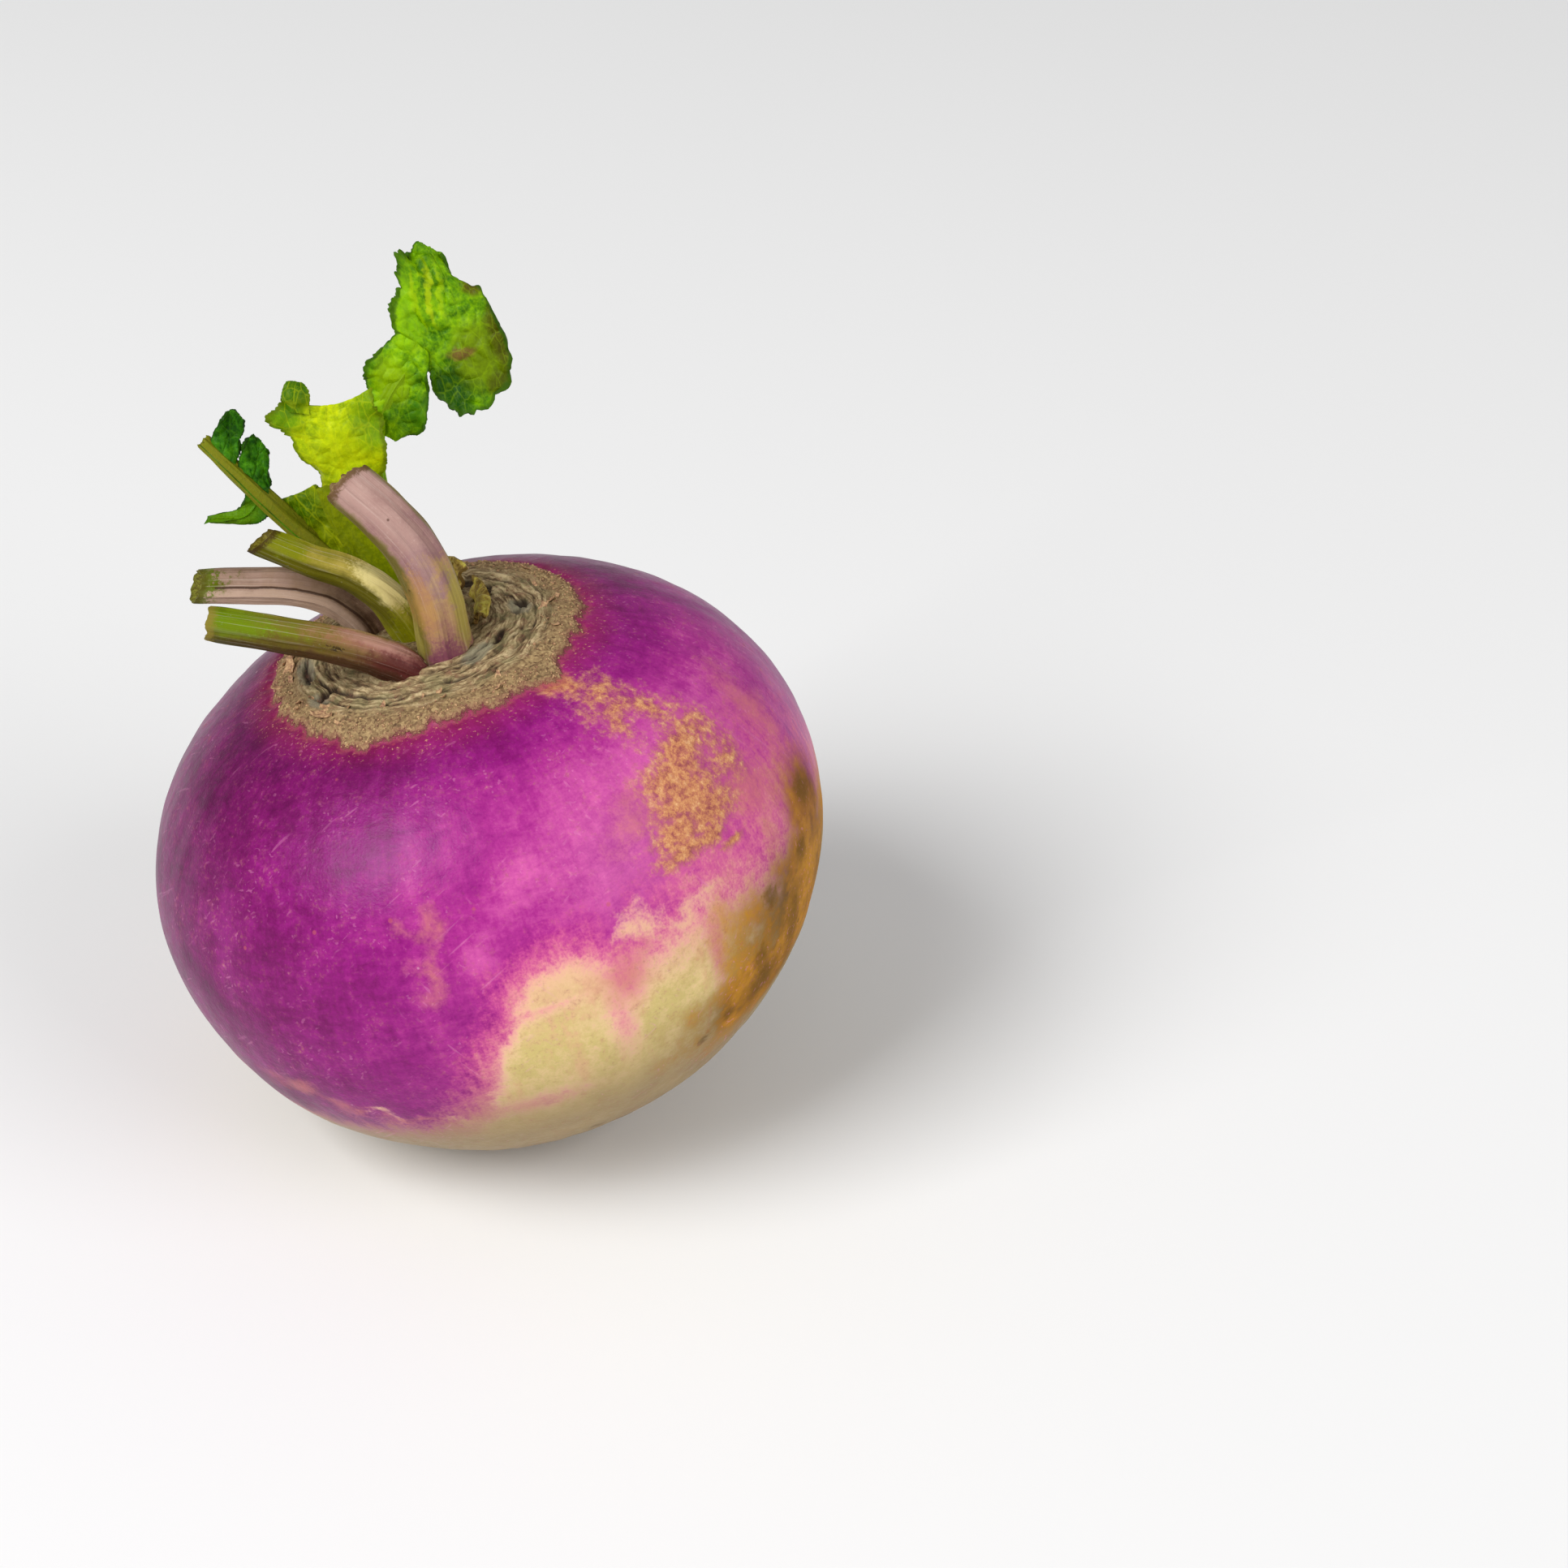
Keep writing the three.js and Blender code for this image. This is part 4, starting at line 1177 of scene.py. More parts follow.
def stalk_finish(name, stops, patches, rim, piths=(srgb(176, 158, 104), srgb(126, 100, 56))):
    """stops are (share of the length, colour). A patch is (side, middle, size, colour, strength),
    with its middle and half sizes given along the stalk and across that side.
    """
    stalk = Paint(name)
    here = stalk.place()
    sides = {side: stalk.field(side) for side in ("across", "facing")}
    along = stalk.field("along")
    spot = stalk.add("ShaderNodeCombineXYZ", {0: sides["across"], 1: sides["facing"], 2: along})
    fibres = stalk.noise(stalk.stretch(spot, 4, 4, 0.8), 0.5, detail=4, roughness=0.6)
    clouds = stalk.noise(here, 2.6, detail=4, roughness=0.6)
    freckles = stalk.noise(here, 0.4, detail=3, roughness=0.7)
    tone = stalk.vary(stalk.vary(along, clouds, 0.7), freckles, 0.25)
    colour = stalk.ramp(tone, stops)
    for side, (middle_along, middle_across), (half_along, half_across), tint, strength in patches:
        u = stalk.vary(along, freckles, 0.2)
        v = stalk.vary(sides[side], clouds, 2 * half_across)
        size = (1.5 * half_along, 1.5 * half_across)
        here_is_it = stalk.patch(u, v, (middle_along, middle_across), size, strength)
        colour = stalk.mix(here_is_it, colour, tint)
    dark = stalk.mix(0.5, colour, (0.02, 0.01, 0.01, 1))
    colour = stalk.mix(stalk.between(fibres, 0.46, 0.3, 0.5), colour, dark)
    light = stalk.mix(0.3, colour, (1, 0.9, 0.8, 1))
    colour = stalk.mix(stalk.between(fibres, 0.54, 0.72, 0.5), colour, light)
    colour = stalk.mix(stalk.between(freckles, 0.62, 0.74, 0.35), colour, light)
    spots = stalk.dots(here, 2.2, 0.22, 0.3)
    colour = stalk.mix(stalk.math("MULTIPLY", spots, 0.7), colour, srgb(74, 46, 26))
    dry = stalk.vary(along, freckles, 0.06)
    colour = stalk.mix(stalk.between(dry, 0.965, 0.992, 0.9), colour, rim)
    pith = stalk.mix(stalk.between(freckles, 0.4, 0.6), *piths)
    colour = stalk.mix(stalk.field("cut"), colour, pith)
    height = stalk.math("MULTIPLY", fibres, 0.1)
    height = stalk.math("MULTIPLY_ADD", freckles, 0.05, height)
    return stalk.finish(colour, STALK_ROUGHNESS, height, IOR=STALK_IOR)


print("stalk roughness", STALK_ROUGHNESS, "and IOR", STALK_IOR)

# %% [markdown]
# Here are the colours of each stalk. The stops run from the foot to the cut, and the patches lie
# on top of them: painted shade on the undersides, painted highlights on the lit backs, and the
# stalks' own marks, such as fresh green near the cut. A patch says on which side it lies, where
# along and across, how large it is, its colour and its strength.

# %% Colours of the four stalks
STALK_LOOKS = {
    "left_front": dict(
        stops=[
            (0.1, srgb(96, 44, 44)), (0.35, srgb(140, 88, 78)), (0.56, srgb(146, 106, 74)),
            (0.72, srgb(116, 102, 34)), (0.9, srgb(104, 116, 0)), (1, srgb(94, 112, 0)),
        ],
        patches=[
            # The next three patches are painted shade on the underside, the fourth a painted
            # highlight.
            ("facing", (0.6, -0.5), (0.5, 0.4), srgb(92, 74, 22), 0.75),
            ("facing", (0.2, -0.5), (0.25, 0.5), srgb(84, 28, 32), 0.85),
            ("facing", (0.55, -0.95), (0.5, 0.25), srgb(58, 34, 16), 0.8),
            ("facing", (0.4, 0.5), (0.16, 0.3), srgb(192, 148, 132), 0.55),
            ("facing", (0.5, 0.95), (0.5, 0.16), srgb(104, 94, 34), 0.6),
            ("facing", (0.93, 0.1), (0.1, 0.6), srgb(106, 132, 0), 0.7),
            ("facing", (0.6, -0.3), (0.02, 0.1), srgb(40, 24, 12), 0.9),
        ],
        rim=srgb(132, 118, 44),
    ),
    "front_right": dict(
        stops=[
            (0.12, srgb(132, 80, 90)), (0.26, srgb(160, 118, 98)), (0.4, srgb(174, 140, 94)),
            (0.55, srgb(146, 108, 108)), (0.75, srgb(162, 126, 118)), (1, srgb(176, 142, 132)),
        ],
        patches=[
            # The first patch is a painted highlight, and the second painted shade along the shaded
            # edge.
            ("across", (0.75, 0.2), (0.3, 0.3), srgb(194, 160, 150), 0.3),
            ("across", (0.6, 1.04), (0.7, 0.17), srgb(100, 94, 16), 0.9),
            ("across", (0.42, 0.75), (0.12, 0.25), srgb(184, 136, 78), 0.55),
            ("across", (0.34, -0.55), (0.14, 0.4), srgb(162, 148, 66), 0.85),
            ("across", (0.6, -0.98), (0.5, 0.14), srgb(128, 116, 56), 0.75),
            ("across", (0.16, 0.4), (0.08, 0.5), srgb(128, 66, 92), 0.7),
            ("facing", (0.2, 0.3), (0.12, 0.4), srgb(166, 154, 78), 0.6),
        ],
        rim=srgb(96, 70, 34),
    ),
    "middle": dict(
        stops=[
            (0.2, srgb(160, 160, 26)), (0.36, srgb(186, 170, 76)), (0.55, srgb(174, 156, 70)),
            (0.75, srgb(148, 136, 44)), (0.88, srgb(128, 128, 8)), (1, srgb(112, 116, 0)),
        ],
        patches=[
            # The first patch is painted shade on the underside, and the second a painted highlight on
            # top.
            ("facing", (0.6, -0.75), (0.6, 0.4), srgb(88, 84, 0), 0.9),
            ("facing", (0.46, 0.3), (0.13, 0.6), srgb(236, 220, 148), 0.95),
            ("facing", (0.95, 0.2), (0.1, 0.6), srgb(120, 126, 0), 0.7),
            ("facing", (0.2, 0), (0.12, 0.9), srgb(156, 158, 12), 0.6),
        ],
        rim=srgb(66, 46, 12),
        piths=(srgb(122, 112, 36), srgb(86, 74, 12)),
    ),
    "left_back": dict(
        stops=[
            (0.2, srgb(106, 78, 60)), (0.45, srgb(156, 126, 102)), (0.75, srgb(168, 138, 122)),
            (0.92, srgb(154, 126, 108)), (1, srgb(94, 98, 12)),
        ],
        patches=[
            # The first patch is painted shade: a dark line in the channel.
            ("across", (0.6, -0.3), (0.8, 0.08), srgb(62, 38, 26), 0.9),
            ("across", (0.6, -0.8), (0.5, 0.3), srgb(186, 158, 138), 0.6),
            ("across", (0.6, 0.9), (0.5, 0.14), srgb(108, 82, 62), 0.6),
            ("across", (0.98, 0), (0.03, 2), srgb(92, 106, 6), 0.9),
        ],
        rim=srgb(84, 80, 12),
        piths=(srgb(122, 122, 40), srgb(84, 76, 16)),
    ),
}
print("patches on the stalks:", {name: len(look["patches"]) for name, look in STALK_LOOKS.items()})

# %% [markdown]
# With shape and colours ready, one loop builds all four stalks. Edges sharper than 50 degrees,
# such as the rim of the cut, stay crisp, and the rest is shaded smooth.

# %% Build the stalks
CUT_EDGE = 50

for name, shape in STALKS.items():
    finish = stalk_finish("stalk_" + name, **STALK_LOOKS[name])
    finish_piece(
        "cut_stalk_" + name,
        bent_stalk(**shape),
        finish,
        replaces="petiole_" + name,
        sharp=CUT_EDGE,
    )

# %% [markdown]
# ## Leaves
# A turnip leaf is thin, puckered between its veins and ragged at its edge. A flat cut-out could
# show its outline, but not the puckers that catch the light. So each blade is a grid from
# create_grid whose columns follow three lines, the left edge, the middle and the right edge. Its
# points are then lifted by ruffles, puckers and veins, and solidify gives it its thin wall.

# %% A leaf blade
BLADE_WALL = 0.45


def across_blade(left, middle, right, reach):
    """The point of a smooth cross line: left at -1, middle at 0, right at 1."""
    to_left, to_right = reach * (reach - 1) / 2, reach * (reach + 1) / 2
    return left * to_left + middle * (1 - reach * reach) + right * to_right


def blade(
    left, middle, right, ruffle, waves, teeth, cells, ribs=6, pucker=0.3, net=2.4, seed=1, crumple=1
):
    """A thin closed blade in the plant's frame, with its veins and edge stored."""
    bm = bmesh.new()
    bmesh.ops.create_grid(bm, x_segments=cells[0], y_segments=cells[1], size=1)
    along_of, across_of, _, _, vein_of, edge_of = (
        bm.verts.layers.float.new(name) for name in SHARED_FIELDS
    )
    lines = {}
    spots = {}
    for vert in bm.verts:
        across, along = vert.co.x, (vert.co.y + 1) / 2
        key = round(along, 4)
        if key not in lines:
            lines[key] = [through(edge, along) for edge in (left, middle, right)]
        tooth = 1 + teeth * math.sin(waves * 7.3 * along + 4 * across) * across**6
        jag = 0.05 * lumps((across * 0.5, along * 14, 0), 0.6, seed)
        jag += 0.025 * lumps((across * 0.5, along * 40, 0), 0.6, seed + 1)
        reach = across * (tooth + jag * abs(across) ** 9)
        vert.co = across_blade(*lines[key], reach)
        spots[vert.index] = (across, along)
    bm.normal_update()
    for vert in bm.verts:
        across, along = spots[vert.index]
        lift = ruffle * math.sin(waves * math.tau * along + 3 * across) * across**2
        distances = noise.voronoi(vert.co / net + Vector((seed, 0, 0)))[0]
        gap = distances[1] - distances[0]
        slant = along * ribs - abs(across) * 1.6
        lateral = bell(slant - round(slant), 0.1) * (1 - abs(across)) ** 0.4
        midrib = bell(across, 0.07 - 0.03 * along)
        vein = max(midrib, 0.75 * lateral, 0.5 * bell(gap, 0.1))
        puff = pucker * (soft_step(gap, 0, 0.5) - 0.5) * (1 - 0.7 * max(midrib, lateral))
        folds = 0.35 * lumps(vert.co, 3.5, seed + 2) + 0.12 * lumps(vert.co, 1.1, seed + 3)
        vert[along_of], vert[across_of], vert[vein_of] = along, across, vein
        vert[edge_of] = soft_step(abs(across), 0.82, 1)
        vert.co += vert.normal * (lift + puff + crumple * folds - 0.12 * vein)
    bm.normal_update()
    for vert in bm.verts:
        vert.co += vert.normal * BLADE_WALL / 2
    bmesh.ops.solidify(bm, geom=bm.faces[:], thickness=BLADE_WALL)
    return bm


def joined(parts):
    """One mesh that holds them all, with their stored fields."""
    whole = parts[0]
    for part in parts[1:]:
        scrap = bpy.data.meshes.new("scrap")
        part.to_mesh(scrap)
        part.free()
        whole.from_mesh(scrap)
        bpy.data.meshes.remove(scrap)
    return whole


print("blades are", BLADE_WALL, "mm thick")

# %% [markdown]
# Veins are lighter than the blade and run in two nets, a coarse and a fine one, and the torn edges
# have begun to darken. The stalk that belongs to a leaf is in the same mesh, and its own field
# says where it is. Light that comes through the blade could be simulated, but a brighter
# yellow-green gives the same look and renders far faster.

# %% Leaf finish
LEAF_IOR = 1.2
LEAF_ROUGHNESS = 0.48
GREEN_PLACES = (0.34, 0.45, 0.56, 0.68)


def leaf_finish(name, greens, vein, edge, stalk_colour, patches=(), netted=0.42):
    """greens run from dark to light. A patch is (middle, half sizes, colour, strength), with its
    middle and half sizes given sideways and upwards.
    """
    leaf = Paint(name)
    here = leaf.place()
    spot = leaf.add("ShaderNodeSeparateXYZ", {0: here}, "X").node
    x, z = spot.outputs["X"], spot.outputs["Z"]
    broad = leaf.noise(here, 3.6, detail=4, roughness=0.6)
    fine = leaf.noise(here, 0.7, detail=3, roughness=0.6)
    colour = leaf.ramp(leaf.vary(broad, fine, 0.6), list(zip(GREEN_PLACES, greens)))
    for middle, size, tint, strength in patches:
        inputs = (leaf.vary(x, broad, 4), leaf.vary(z, fine, 0.8))
        colour = leaf.mix(leaf.patch(*inputs, middle, size, strength), colour, tint)
    upright = leaf.stretch(here, 1, 1, 0.45)
    net = leaf.between(leaf.cells(upright, 1.5, feature="DISTANCE_TO_EDGE"), 0.07, 0.0, netted)
    fine_net = leaf.cells(upright, 0.6, feature="DISTANCE_TO_EDGE")
    fine_net = leaf.between(fine_net, 0.1, 0.0, 0.4 * netted)
    veins = leaf.math("MAXIMUM", net, fine_net)
    veins = leaf.math("MAXIMUM", veins, leaf.between(leaf.field("vein"), 0.3, 0.95, 1.2 * netted))
    colour = leaf.mix(veins, colour, vein)
    rim = leaf.vary(leaf.vary(leaf.field("edge"), fine, 0.9), broad, 0.9)
    colour = leaf.mix(leaf.between(rim, 0.35, 1.0, 0.85), colour, edge)
    stem = leaf.math("ABSOLUTE", leaf.field("facing"))
    stem_colour = leaf.mix(leaf.between(fine, 0.4, 0.62, 0.12), stalk_colour, vein)
    colour = leaf.mix(leaf.between(stem, 0.02, 0.1), colour, stem_colour)
    height = leaf.math("MULTIPLY_ADD", fine, 0.12, leaf.math("MULTIPLY", veins, 0.06))
    return leaf.finish(colour, LEAF_ROUGHNESS, height, IOR=LEAF_IOR)


print("leaf roughness", LEAF_ROUGHNESS, "and IOR", LEAF_IOR)

# %% [markdown]
# Each leaf has its own greens. The torn one is yellow-green, brightest in its middle and darker at
# its tips. The tall one is a fresh lime, dark low down on the left, olive and brown on the right.
# The young one is small and dark. Patches are placed in the plane that faces the camera, in
# millimetres: sideways and upwards from the root's middle.

# %% Colours of the three leaves
LEAF_EDGE = 60

torn_finish = leaf_finish(
    "torn_leaf_green",
    [srgb(112, 140, 0), srgb(142, 166, 0), srgb(168, 188, 0), srgb(190, 204, 0)],
    vein=srgb(206, 214, 10), edge=srgb(92, 112, 0), stalk_colour=srgb(108, 122, 0), netted=0.24,
    patches=[
        ((-3.8, 57.5), (6, 5), srgb(178, 196, 0), 0.6),
        ((-10, 64.5), (4, 4), srgb(96, 138, 0), 0.9),
        ((-7.2, 67.4), (4.4, 4.4), srgb(54, 98, 0), 0.95),
        ((1.6, 60.5), (4, 5), srgb(106, 144, 0), 0.9),
        ((-7, 46.5), (9, 9), srgb(108, 124, 0), 0.95),
        ((-12, 51), (5, 4.4), srgb(62, 98, 0), 0.92),
        ((-7.4, 49.4), (0.8, 6), srgb(170, 176, 20), 0.7),
    ],
)
tall_finish = leaf_finish(
    "tall_leaf_green",
    [srgb(56, 104, 0), srgb(84, 132, 0), srgb(110, 158, 0), srgb(136, 182, 0)],
    vein=srgb(152, 190, 2), edge=srgb(44, 80, 0), stalk_colour=srgb(118, 150, 0),
    patches=[
        ((9.4, 71.5), (0.5, 5), srgb(160, 186, 0), 0.6),
        ((11, 72), (0.6, 5), srgb(168, 188, 10), 0.7),
        ((12.6, 72), (0.5, 4), srgb(156, 186, 0), 0.5),
        ((7.8, 70.5), (2.4, 6), srgb(128, 178, 0), 0.6),
        ((4, 63), (3, 4), srgb(138, 170, 0), 0.7),
        ((10.8, 59.5), (3.2, 4.6), srgb(14, 62, 0), 0.92),
        ((6.6, 58), (2.8, 3.4), srgb(50, 104, 0), 0.85),
        ((15.6, 63), (5, 6), srgb(104, 122, 0), 0.75),
        ((13, 63.9), (2.6, 1), srgb(112, 84, 40), 0.9),
        ((18.8, 65), (2.2, 7), srgb(68, 66, 0), 0.9),
        ((17.2, 58.6), (2.8, 2.4), srgb(74, 78, 0), 0.8),
        ((17, 71.6), (2.2, 1.6), srgb(74, 58, 10), 0.9),
    ],
    netted=0.2,
)
young_finish = leaf_finish(
    "young_leaf_green",
    [srgb(16, 62, 0), srgb(30, 84, 0), srgb(48, 108, 2), srgb(72, 134, 6)],
    vein=srgb(70, 124, 10), edge=srgb(26, 60, 0), stalk_colour=srgb(118, 118, 20),
    patches=[((-20, 52), (5, 2.4), srgb(96, 134, 0), 0.8)],
)

# %% [markdown]
# The torn leaf is a wide, flat stalk that opens into the rest of a blade. Its upper edge is torn
# off, a small lobe is left at the upper left and a larger one lower down. One grid can't fork, so
# the stalk and the three lobes are separate closed shapes that overlap, joined into one mesh.

# %% Build the torn leaf
torn_parts = [
    bent_stalk(
        path=[
            (-0.6, 3.2, 30), (-1.8, 3.4, 35.3), (-3, 3.6, 40.4), (-4.3, 3.9, 45.4),
            (-5.4, 4.3, 49.4), (-5.8, 4.8, 53.4),
        ],
        width=(6.2, 5.2), depth=(3.4, 1.6), channel=0.4, facing=(0.2, -1, 0.2), flare=0.15,
        slant=(0, 0), seed=14,
    ),
    blade(
        left=[
            (-8, 5.2, 52), (-7.9, 5, 55.2), (-8.4, 4.8, 57.9), (-9.1, 4.4, 60.3),
            (-10.3, 4.2, 62.1), (-11.1, 4, 64.3), (-10.1, 4.2, 65.5), (-8.9, 4.8, 66.4),
        ],
        middle=[
            (-5.4, 4.6, 51.4), (-4.2, 4.2, 54.4), (-3.9, 4, 57.1), (-3.9, 3.8, 59.1),
            (-3.9, 4, 60.8), (-3.9, 4.4, 62), (-3.8, 5, 63.1), (-3.6, 5.4, 63.9),
        ],
        right=[
            (-2.8, 5.2, 50.8), (-0.4, 5.4, 52.3), (1.2, 5.6, 54.7), (1.9, 5.8, 57.4),
            (2.2, 6, 59.5), (2.1, 6.2, 61.4), (2, 6.6, 62.9), (2, 7, 64.2),
        ],
        ruffle=0.6, waves=2.2, teeth=0.04, cells=(64, 84), ribs=5, pucker=0.12, seed=3,
        crumple=0.6,
    ),
    blade(
        left=[(-9, 4.5, 64.6), (-8.8, 4.6, 66.6), (-8, 5.2, 67.6), (-7.2, 6, 67.9)],
        middle=[(-7.5, 4.3, 64.4), (-7.1, 4, 66.3), (-6.8, 4.6, 67.3), (-6.5, 5.8, 67.7)],
        right=[(-6, 4.6, 63.6), (-5.5, 4.8, 65.3), (-5.4, 5.2, 66.4), (-6, 6, 67.3)],
        ruffle=0.2, waves=1, teeth=0.04, cells=(24, 30), ribs=2, pucker=0.15, seed=4,
    ),
    blade(
        left=[(-14.2, 7.2, 51.6), (-12.9, 6.4, 49.7), (-11.4, 5.6, 46.9), (-8.6, 4.4, 43)],
        middle=[(-11.7, 6.6, 52.1), (-10.6, 5.8, 50.4), (-9, 5, 47.7), (-6.6, 4.2, 43.8)],
        right=[(-8.4, 5.8, 53.4), (-6.8, 4.9, 51.1), (-5.8, 4.4, 48.2), (-4.8, 4, 44.4)],
        ruffle=0.3, waves=1, teeth=0.04, cells=(30, 50), ribs=3, pucker=0.15, seed=5,
    ),
]
finish_piece(
    "torn_leaf_blades", joined(torn_parts), torn_finish, "torn_leaf", LEAF_EDGE
)

# %% [markdown]
# The tall leaf stands highest, on a thin stalk behind the torn one. Its blade is pinched into a
# lower lobe and a large ruffled upper one, with a gap between them where the lower edge folds
# away. So it is made of two blades, and the large one has the finest grid of all.

# %% Build the tall leaf
tall_parts = [
    bent_stalk(
        path=[
            (-1.8, 7.8, 29.5), (-2.3, 8.2, 38), (-2.1, 8.6, 47), (-1.1, 9.2, 53.6),
            (0.6, 9.8, 58), (3.4, 10.9, 61.6), (6.2, 11.9, 63.9), (8.4, 12.8, 65),
        ],
        width=(3.8, 1.5), depth=(3.6, 1.3), channel=0.3, facing=(-0.4, -1, 0.2), flare=0.2,
        slant=(0, 0), ribs=0.05, seed=17,
    ),
    blade(
        left=[
            (0.9, 9.4, 56.4), (1.2, 9.8, 58.5), (0.9, 10.2, 60.6), (0.5, 10.6, 63.2),
            (1.2, 11.2, 65.2), (3.6, 11.8, 67.3), (6.6, 12.4, 68.5),
        ],
        middle=[
            (1.6, 9.2, 56), (3.1, 9.3, 57.8), (4.3, 9.8, 59.6), (5.1, 10.4, 61.3),
            (5.9, 11, 63.3), (6.9, 11.6, 65.2), (8.2, 12.2, 66.8),
        ],
        right=[
            (2.4, 9.6, 55.4), (4.6, 10, 55.1), (6.8, 10, 56.7), (7.6, 10.2, 59),
            (8.3, 10.6, 61.3), (8.9, 11.2, 63.3), (9.4, 12, 65),
        ],
        ruffle=0.6, waves=2.4, teeth=0.05, cells=(56, 76), ribs=5, seed=6,
    ),
    blade(
        left=[
            (6.6, 11.6, 64.4), (6, 12.4, 68.1), (6.2, 13.4, 71.2), (7.3, 14.4, 73.8),
            (8.3, 15.6, 76.6), (9.2, 16.4, 77.1), (10.2, 17.2, 77.4), (11, 18, 77.6),
        ],
        middle=[
            (8, 12, 63.4), (9.2, 12.6, 64.1), (10.5, 12.8, 64.3), (12.5, 13, 65.2),
            (14.1, 13.6, 67.8), (14.1, 14.8, 71), (13.2, 16.2, 74.4), (12.4, 17.8, 76.7),
        ],
        right=[
            (9.7, 11.2, 63), (9.8, 10.6, 59.7), (11.2, 10.6, 56.9), (14.8, 11.4, 55.8),
            (18.8, 12.8, 59.9), (18.8, 14.2, 66), (17.7, 15.6, 70.8), (15.4, 16.8, 71.8),
            (13.7, 17.6, 75.6),
        ],
        ruffle=0.8, waves=2.6, teeth=0.05, cells=(84, 110), ribs=6, pucker=0.4, seed=7,
    ),
]
finish_piece(
    "tall_leaf_blades", joined(tall_parts), tall_finish, "tall_leaf", LEAF_EDGE
)

# %% [markdown]
# The young leaf is a thin stalk with small dark lobes that haven't opened yet: two stand up behind
# the stalk and one points forward to the left. The same two helpers make them, only smaller.

# %% Build the young leaf
young_parts = [
    bent_stalk(
        path=[
            (-2.8, 4.8, 29.5), (-5.2, 5, 36.6), (-9.2, 5.2, 43), (-12.4, 5.2, 47.8),
            (-15.7, 5.6, 53.2), (-18.6, 6.2, 58.2), (-21, 6.8, 62),
        ],
        width=(4.2, 2.2), depth=(3.8, 2), channel=0.35, facing=(0.8, -0.2, 0.6), flare=0.2,
        slant=(0, 0), ribs=0.05, seed=20,
    ),
    blade(
        left=[(-20.4, 6.6, 61.2), (-19, 7.4, 63.3), (-17.3, 8.2, 64.4), (-16.2, 8.8, 64.3)],
        middle=[(-19.1, 6.2, 59.8), (-18.2, 7.4, 61.3), (-17.2, 8.4, 62.5), (-16, 9, 63.7)],
        right=[(-17.9, 6, 58), (-17.1, 7, 59.3), (-16.4, 7.8, 61), (-15.6, 8.8, 62.7)],
        ruffle=0.3, waves=1.5, teeth=0.06, cells=(32, 40), ribs=3, pucker=0.15, seed=8,
    ),
    blade(
        left=[(-17.6, 6, 57.8), (-17, 7, 59.4), (-16, 8, 60.4), (-15, 8.6, 60.6)],
        middle=[(-16.3, 5.8, 55.6), (-15.8, 7, 56.8), (-15.2, 8, 58), (-14.4, 8.8, 59.4)],
        right=[(-14.9, 5.6, 52.9), (-14.6, 6.6, 54.1), (-14.2, 7.4, 56), (-13.9, 8.4, 58.1)],
        ruffle=0.3, waves=1.5, teeth=0.06, cells=(32, 40), ribs=3, pucker=0.15, seed=9,
    ),
    blade(
        left=[(-17.4, 5.6, 54.8), (-18.3, 5, 53.2), (-19.5, 4.6, 52.5), (-23, 4, 52.8)],
        middle=[(-16.2, 5.4, 53.2), (-17.5, 4.8, 51.9), (-18.9, 4.4, 51.5), (-23.1, 4, 52.4)],
        right=[(-14.8, 5.2, 51.2), (-16.6, 4.6, 50.3), (-18.4, 4.2, 50.6), (-23.1, 4, 52)],
        ruffle=0.2, waves=1, teeth=0.04, cells=(30, 48), ribs=3, pucker=0.15, seed=10,
    ),
]
finish_piece(
    "young_leaf_blades", joined(young_parts), young_finish, "young_leaf", LEAF_EDGE
)

# %% [markdown]
# ## Loose bits on the crown
# The cork sheds crumbs, most of them at its rim. They could be bumps of the root's own mesh, but
# real crumbs have undersides and throw small shadows. So each is a tiny closed ball with uneven
# sides, sunk a little into the root. A ray shot down onto the carved root finds its height. The
# random draw is seeded, so the crumbs lie the same each time.

# %% Cork crumbs
CRUMBS = 700
DRAW_SEED = 4
WELL_ABOVE = 60
draw = random.Random(DRAW_SEED)


def on_crown(x, y):
    """The root's surface point above or below this place, and the way it faces."""
    above = Vector((x, y, WELL_ABOVE))
    spot, normal, _, _ = root_tree.ray_cast(above, Vector((0, 0, -1)))
    return spot, normal


crumbs_bm = bmesh.new()
for _ in range(CRUMBS):
    angle = draw.uniform(-math.pi, math.pi)
    radius = cork_edge(angle) + 0.3 - abs(draw.gauss(0, 1.5))
    spot, normal = on_crown(radius * math.cos(angle), radius * math.sin(angle))
    grain = 0.08 + 0.13 * draw.random() ** 2
    shape = Matrix.Diagonal((*(grain * draw.uniform(0.7, 1.3) for _ in range(3)), 1))
    tumbled = Matrix.Rotation(draw.uniform(0, math.tau), 4, normal) @ shape
    place = Matrix.Translation(spot + normal * grain * 0.3) @ tumbled
    bmesh.ops.create_icosphere(crumbs_bm, subdivisions=1, radius=1, matrix=place)
print("crumbs made:", CRUMBS)

# %% [markdown]
# Crumbs and flakes are dry cork, dull and tan. One noise, broad enough to change from crumb to
# crumb, gives each its own shade, so they need no material of their own for every shade.

# %% Crumb finish
CRUMB_ROUGHNESS = 0.85

crumb_paint = Paint("cork_crumb")
crumb_tone = crumb_paint.noise(crumb_paint.place(), 0.4, detail=2)
crumb_colour = crumb_paint.ramp(
    crumb_tone, [(0.35, srgb(136, 96, 74)), (0.5, srgb(172, 134, 98)), (0.65, srgb(204, 166, 122))]
)
crumb_finish = crumb_paint.finish(crumb_colour, CRUMB_ROUGHNESS)
finish_piece("cork_crumbs", crumbs_bm, crumb_finish)

# %% [markdown]
# Larger scraps of cork peel off as thin curled flakes and stand up from the rim. Each is a small
# grid, narrowed towards its tip, rolled up along its length and given a wall by solidify. Most are
# placed by the seeded draw, and three are listed one by one, where the photograph shows large ones.

# %% Curled flakes
FLAKES = 46
FLAKE_WALL = 0.12
FLAKE_SUNK = 0.08
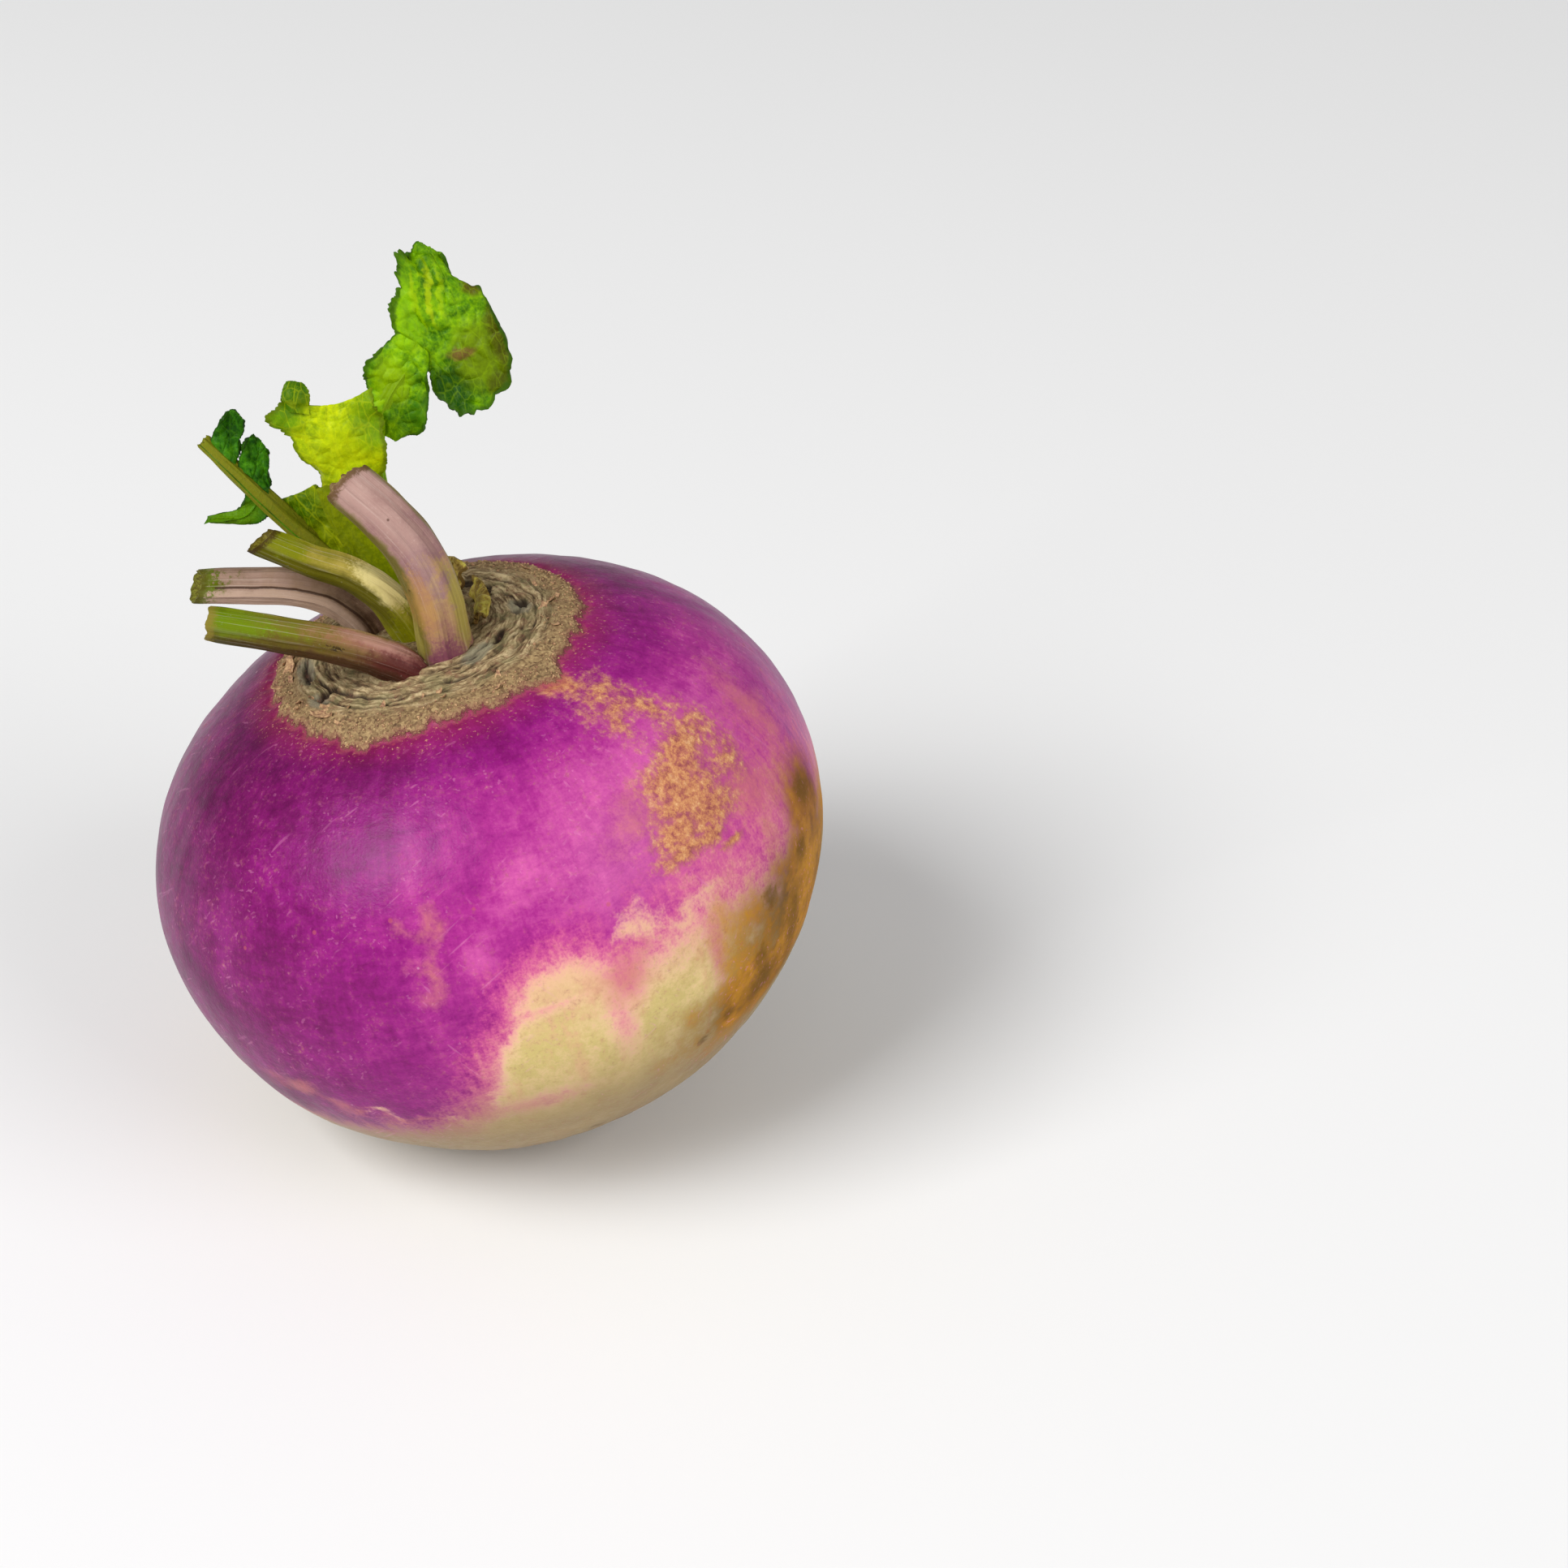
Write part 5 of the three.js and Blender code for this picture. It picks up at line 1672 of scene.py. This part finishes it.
# Rows: x, y and size in millimetres, heading in radians.
LARGE_FLAKES = ((-19.4, 1.6, 2.2, 0.4), (-18.4, -1.6, 1.8, 1.2), (-11.2, -13.8, 2.0, 2.6))


def flake(spot, normal, size, heading):
    """A thin scrap of cork, curled up at one end, that stands on the root."""
    bm = bmesh.new()
    bmesh.ops.create_grid(bm, x_segments=6, y_segments=8, size=1)
    curl = draw.uniform(0.5, 1.1)
    seed = draw.uniform(0, 50)
    for vert in bm.verts:
        x, y = vert.co.x, (vert.co.y + 1) / 2
        narrow = 1 - 0.5 * y + 0.3 * lumps((x, y * 2, seed), 0.8)
        bend = curl * y * 1.3
        vert.co = (0.5 * x * narrow, math.sin(bend) / curl, (1 - math.cos(bend)) / curl + 0.1 * x * x)
    bmesh.ops.solidify(bm, geom=bm.faces[:], thickness=FLAKE_WALL)
    lie = normal.to_track_quat("Z", "Y").to_matrix().to_4x4() @ Matrix.Rotation(heading, 4, "Z")
    sunk = Matrix.Translation(spot - normal * FLAKE_SUNK)
    bmesh.ops.transform(bm, matrix=sunk @ lie @ Matrix.Scale(size, 4), verts=bm.verts)
    return bm


flakes = []
for _ in range(FLAKES):
    angle = draw.uniform(-math.pi, math.pi)
    radius = draw.uniform(15.5, 20)
    spot, normal = on_crown(radius * math.cos(angle), radius * math.sin(angle))
    flakes.append(flake(spot, normal, draw.uniform(0.5, 1.2), draw.uniform(0, math.tau)))
for x, y, size, heading in LARGE_FLAKES:
    flakes.append(flake(*on_crown(x, y), size, heading))
finish_piece("cork_flakes", joined(flakes), crumb_finish)

# %% [markdown]
# Round the feet of the stalks stand the dried bases of lost leaves, brown and papery. They are
# blades too, only a few millimetres high, with their lower edges sunk into the crown, so the leaf
# helper makes them with other lines and colours.

# %% Dried scale leaves round the stalks
bract_parts = [
    blade(
        left=[(6.6, -2.2, 32), (7.8, -2.9, 34), (9.4, -3.2, 34.4)],
        middle=[(7.2, 1.4, 32), (8.6, 1, 34.8), (10, 0.2, 34.9)],
        right=[(6.2, 5.4, 32), (7.2, 5.6, 34.8), (8.4, 5, 35.4)],
        ruffle=0.4, waves=1.6, teeth=0.03, cells=(30, 24), ribs=2, pucker=0.1, seed=31,
    ),
    blade(
        left=[(4.6, 5.4, 32), (5.4, 6.2, 35.2), (6.6, 6.6, 36.8)],
        middle=[(3.2, 7.4, 32), (3.8, 8.4, 35.8), (4.8, 8.8, 37.6)],
        right=[(1.0, 8.6, 32), (1.2, 9.8, 35), (1.8, 10.4, 36.6)],
        ruffle=0.4, waves=1.6, teeth=0.03, cells=(30, 24), ribs=2, pucker=0.1, seed=32,
    ),
    blade(
        left=[(-7.6, 2.6, 31.6), (-9.2, 3.2, 34), (-11, 3.6, 34.8)],
        middle=[(-7, 5, 31.6), (-8.4, 6.4, 34.4), (-10.2, 7.2, 35.4)],
        right=[(-5, 7.2, 31.6), (-5.8, 8.8, 34), (-7, 9.8, 34.6)],
        ruffle=0.4, waves=1.6, teeth=0.03, cells=(30, 24), ribs=2, pucker=0.1, seed=33,
    ),
]
bract_finish = leaf_finish(
    "dried_scale_leaf",
    [srgb(96, 74, 30), srgb(138, 112, 48), srgb(168, 152, 58), srgb(188, 178, 84)],
    vein=srgb(196, 176, 104), edge=srgb(92, 62, 32), stalk_colour=srgb(138, 112, 48),
)
finish_piece("scale_leaves", joined(bract_parts), bract_finish, sharp=LEAF_EDGE)
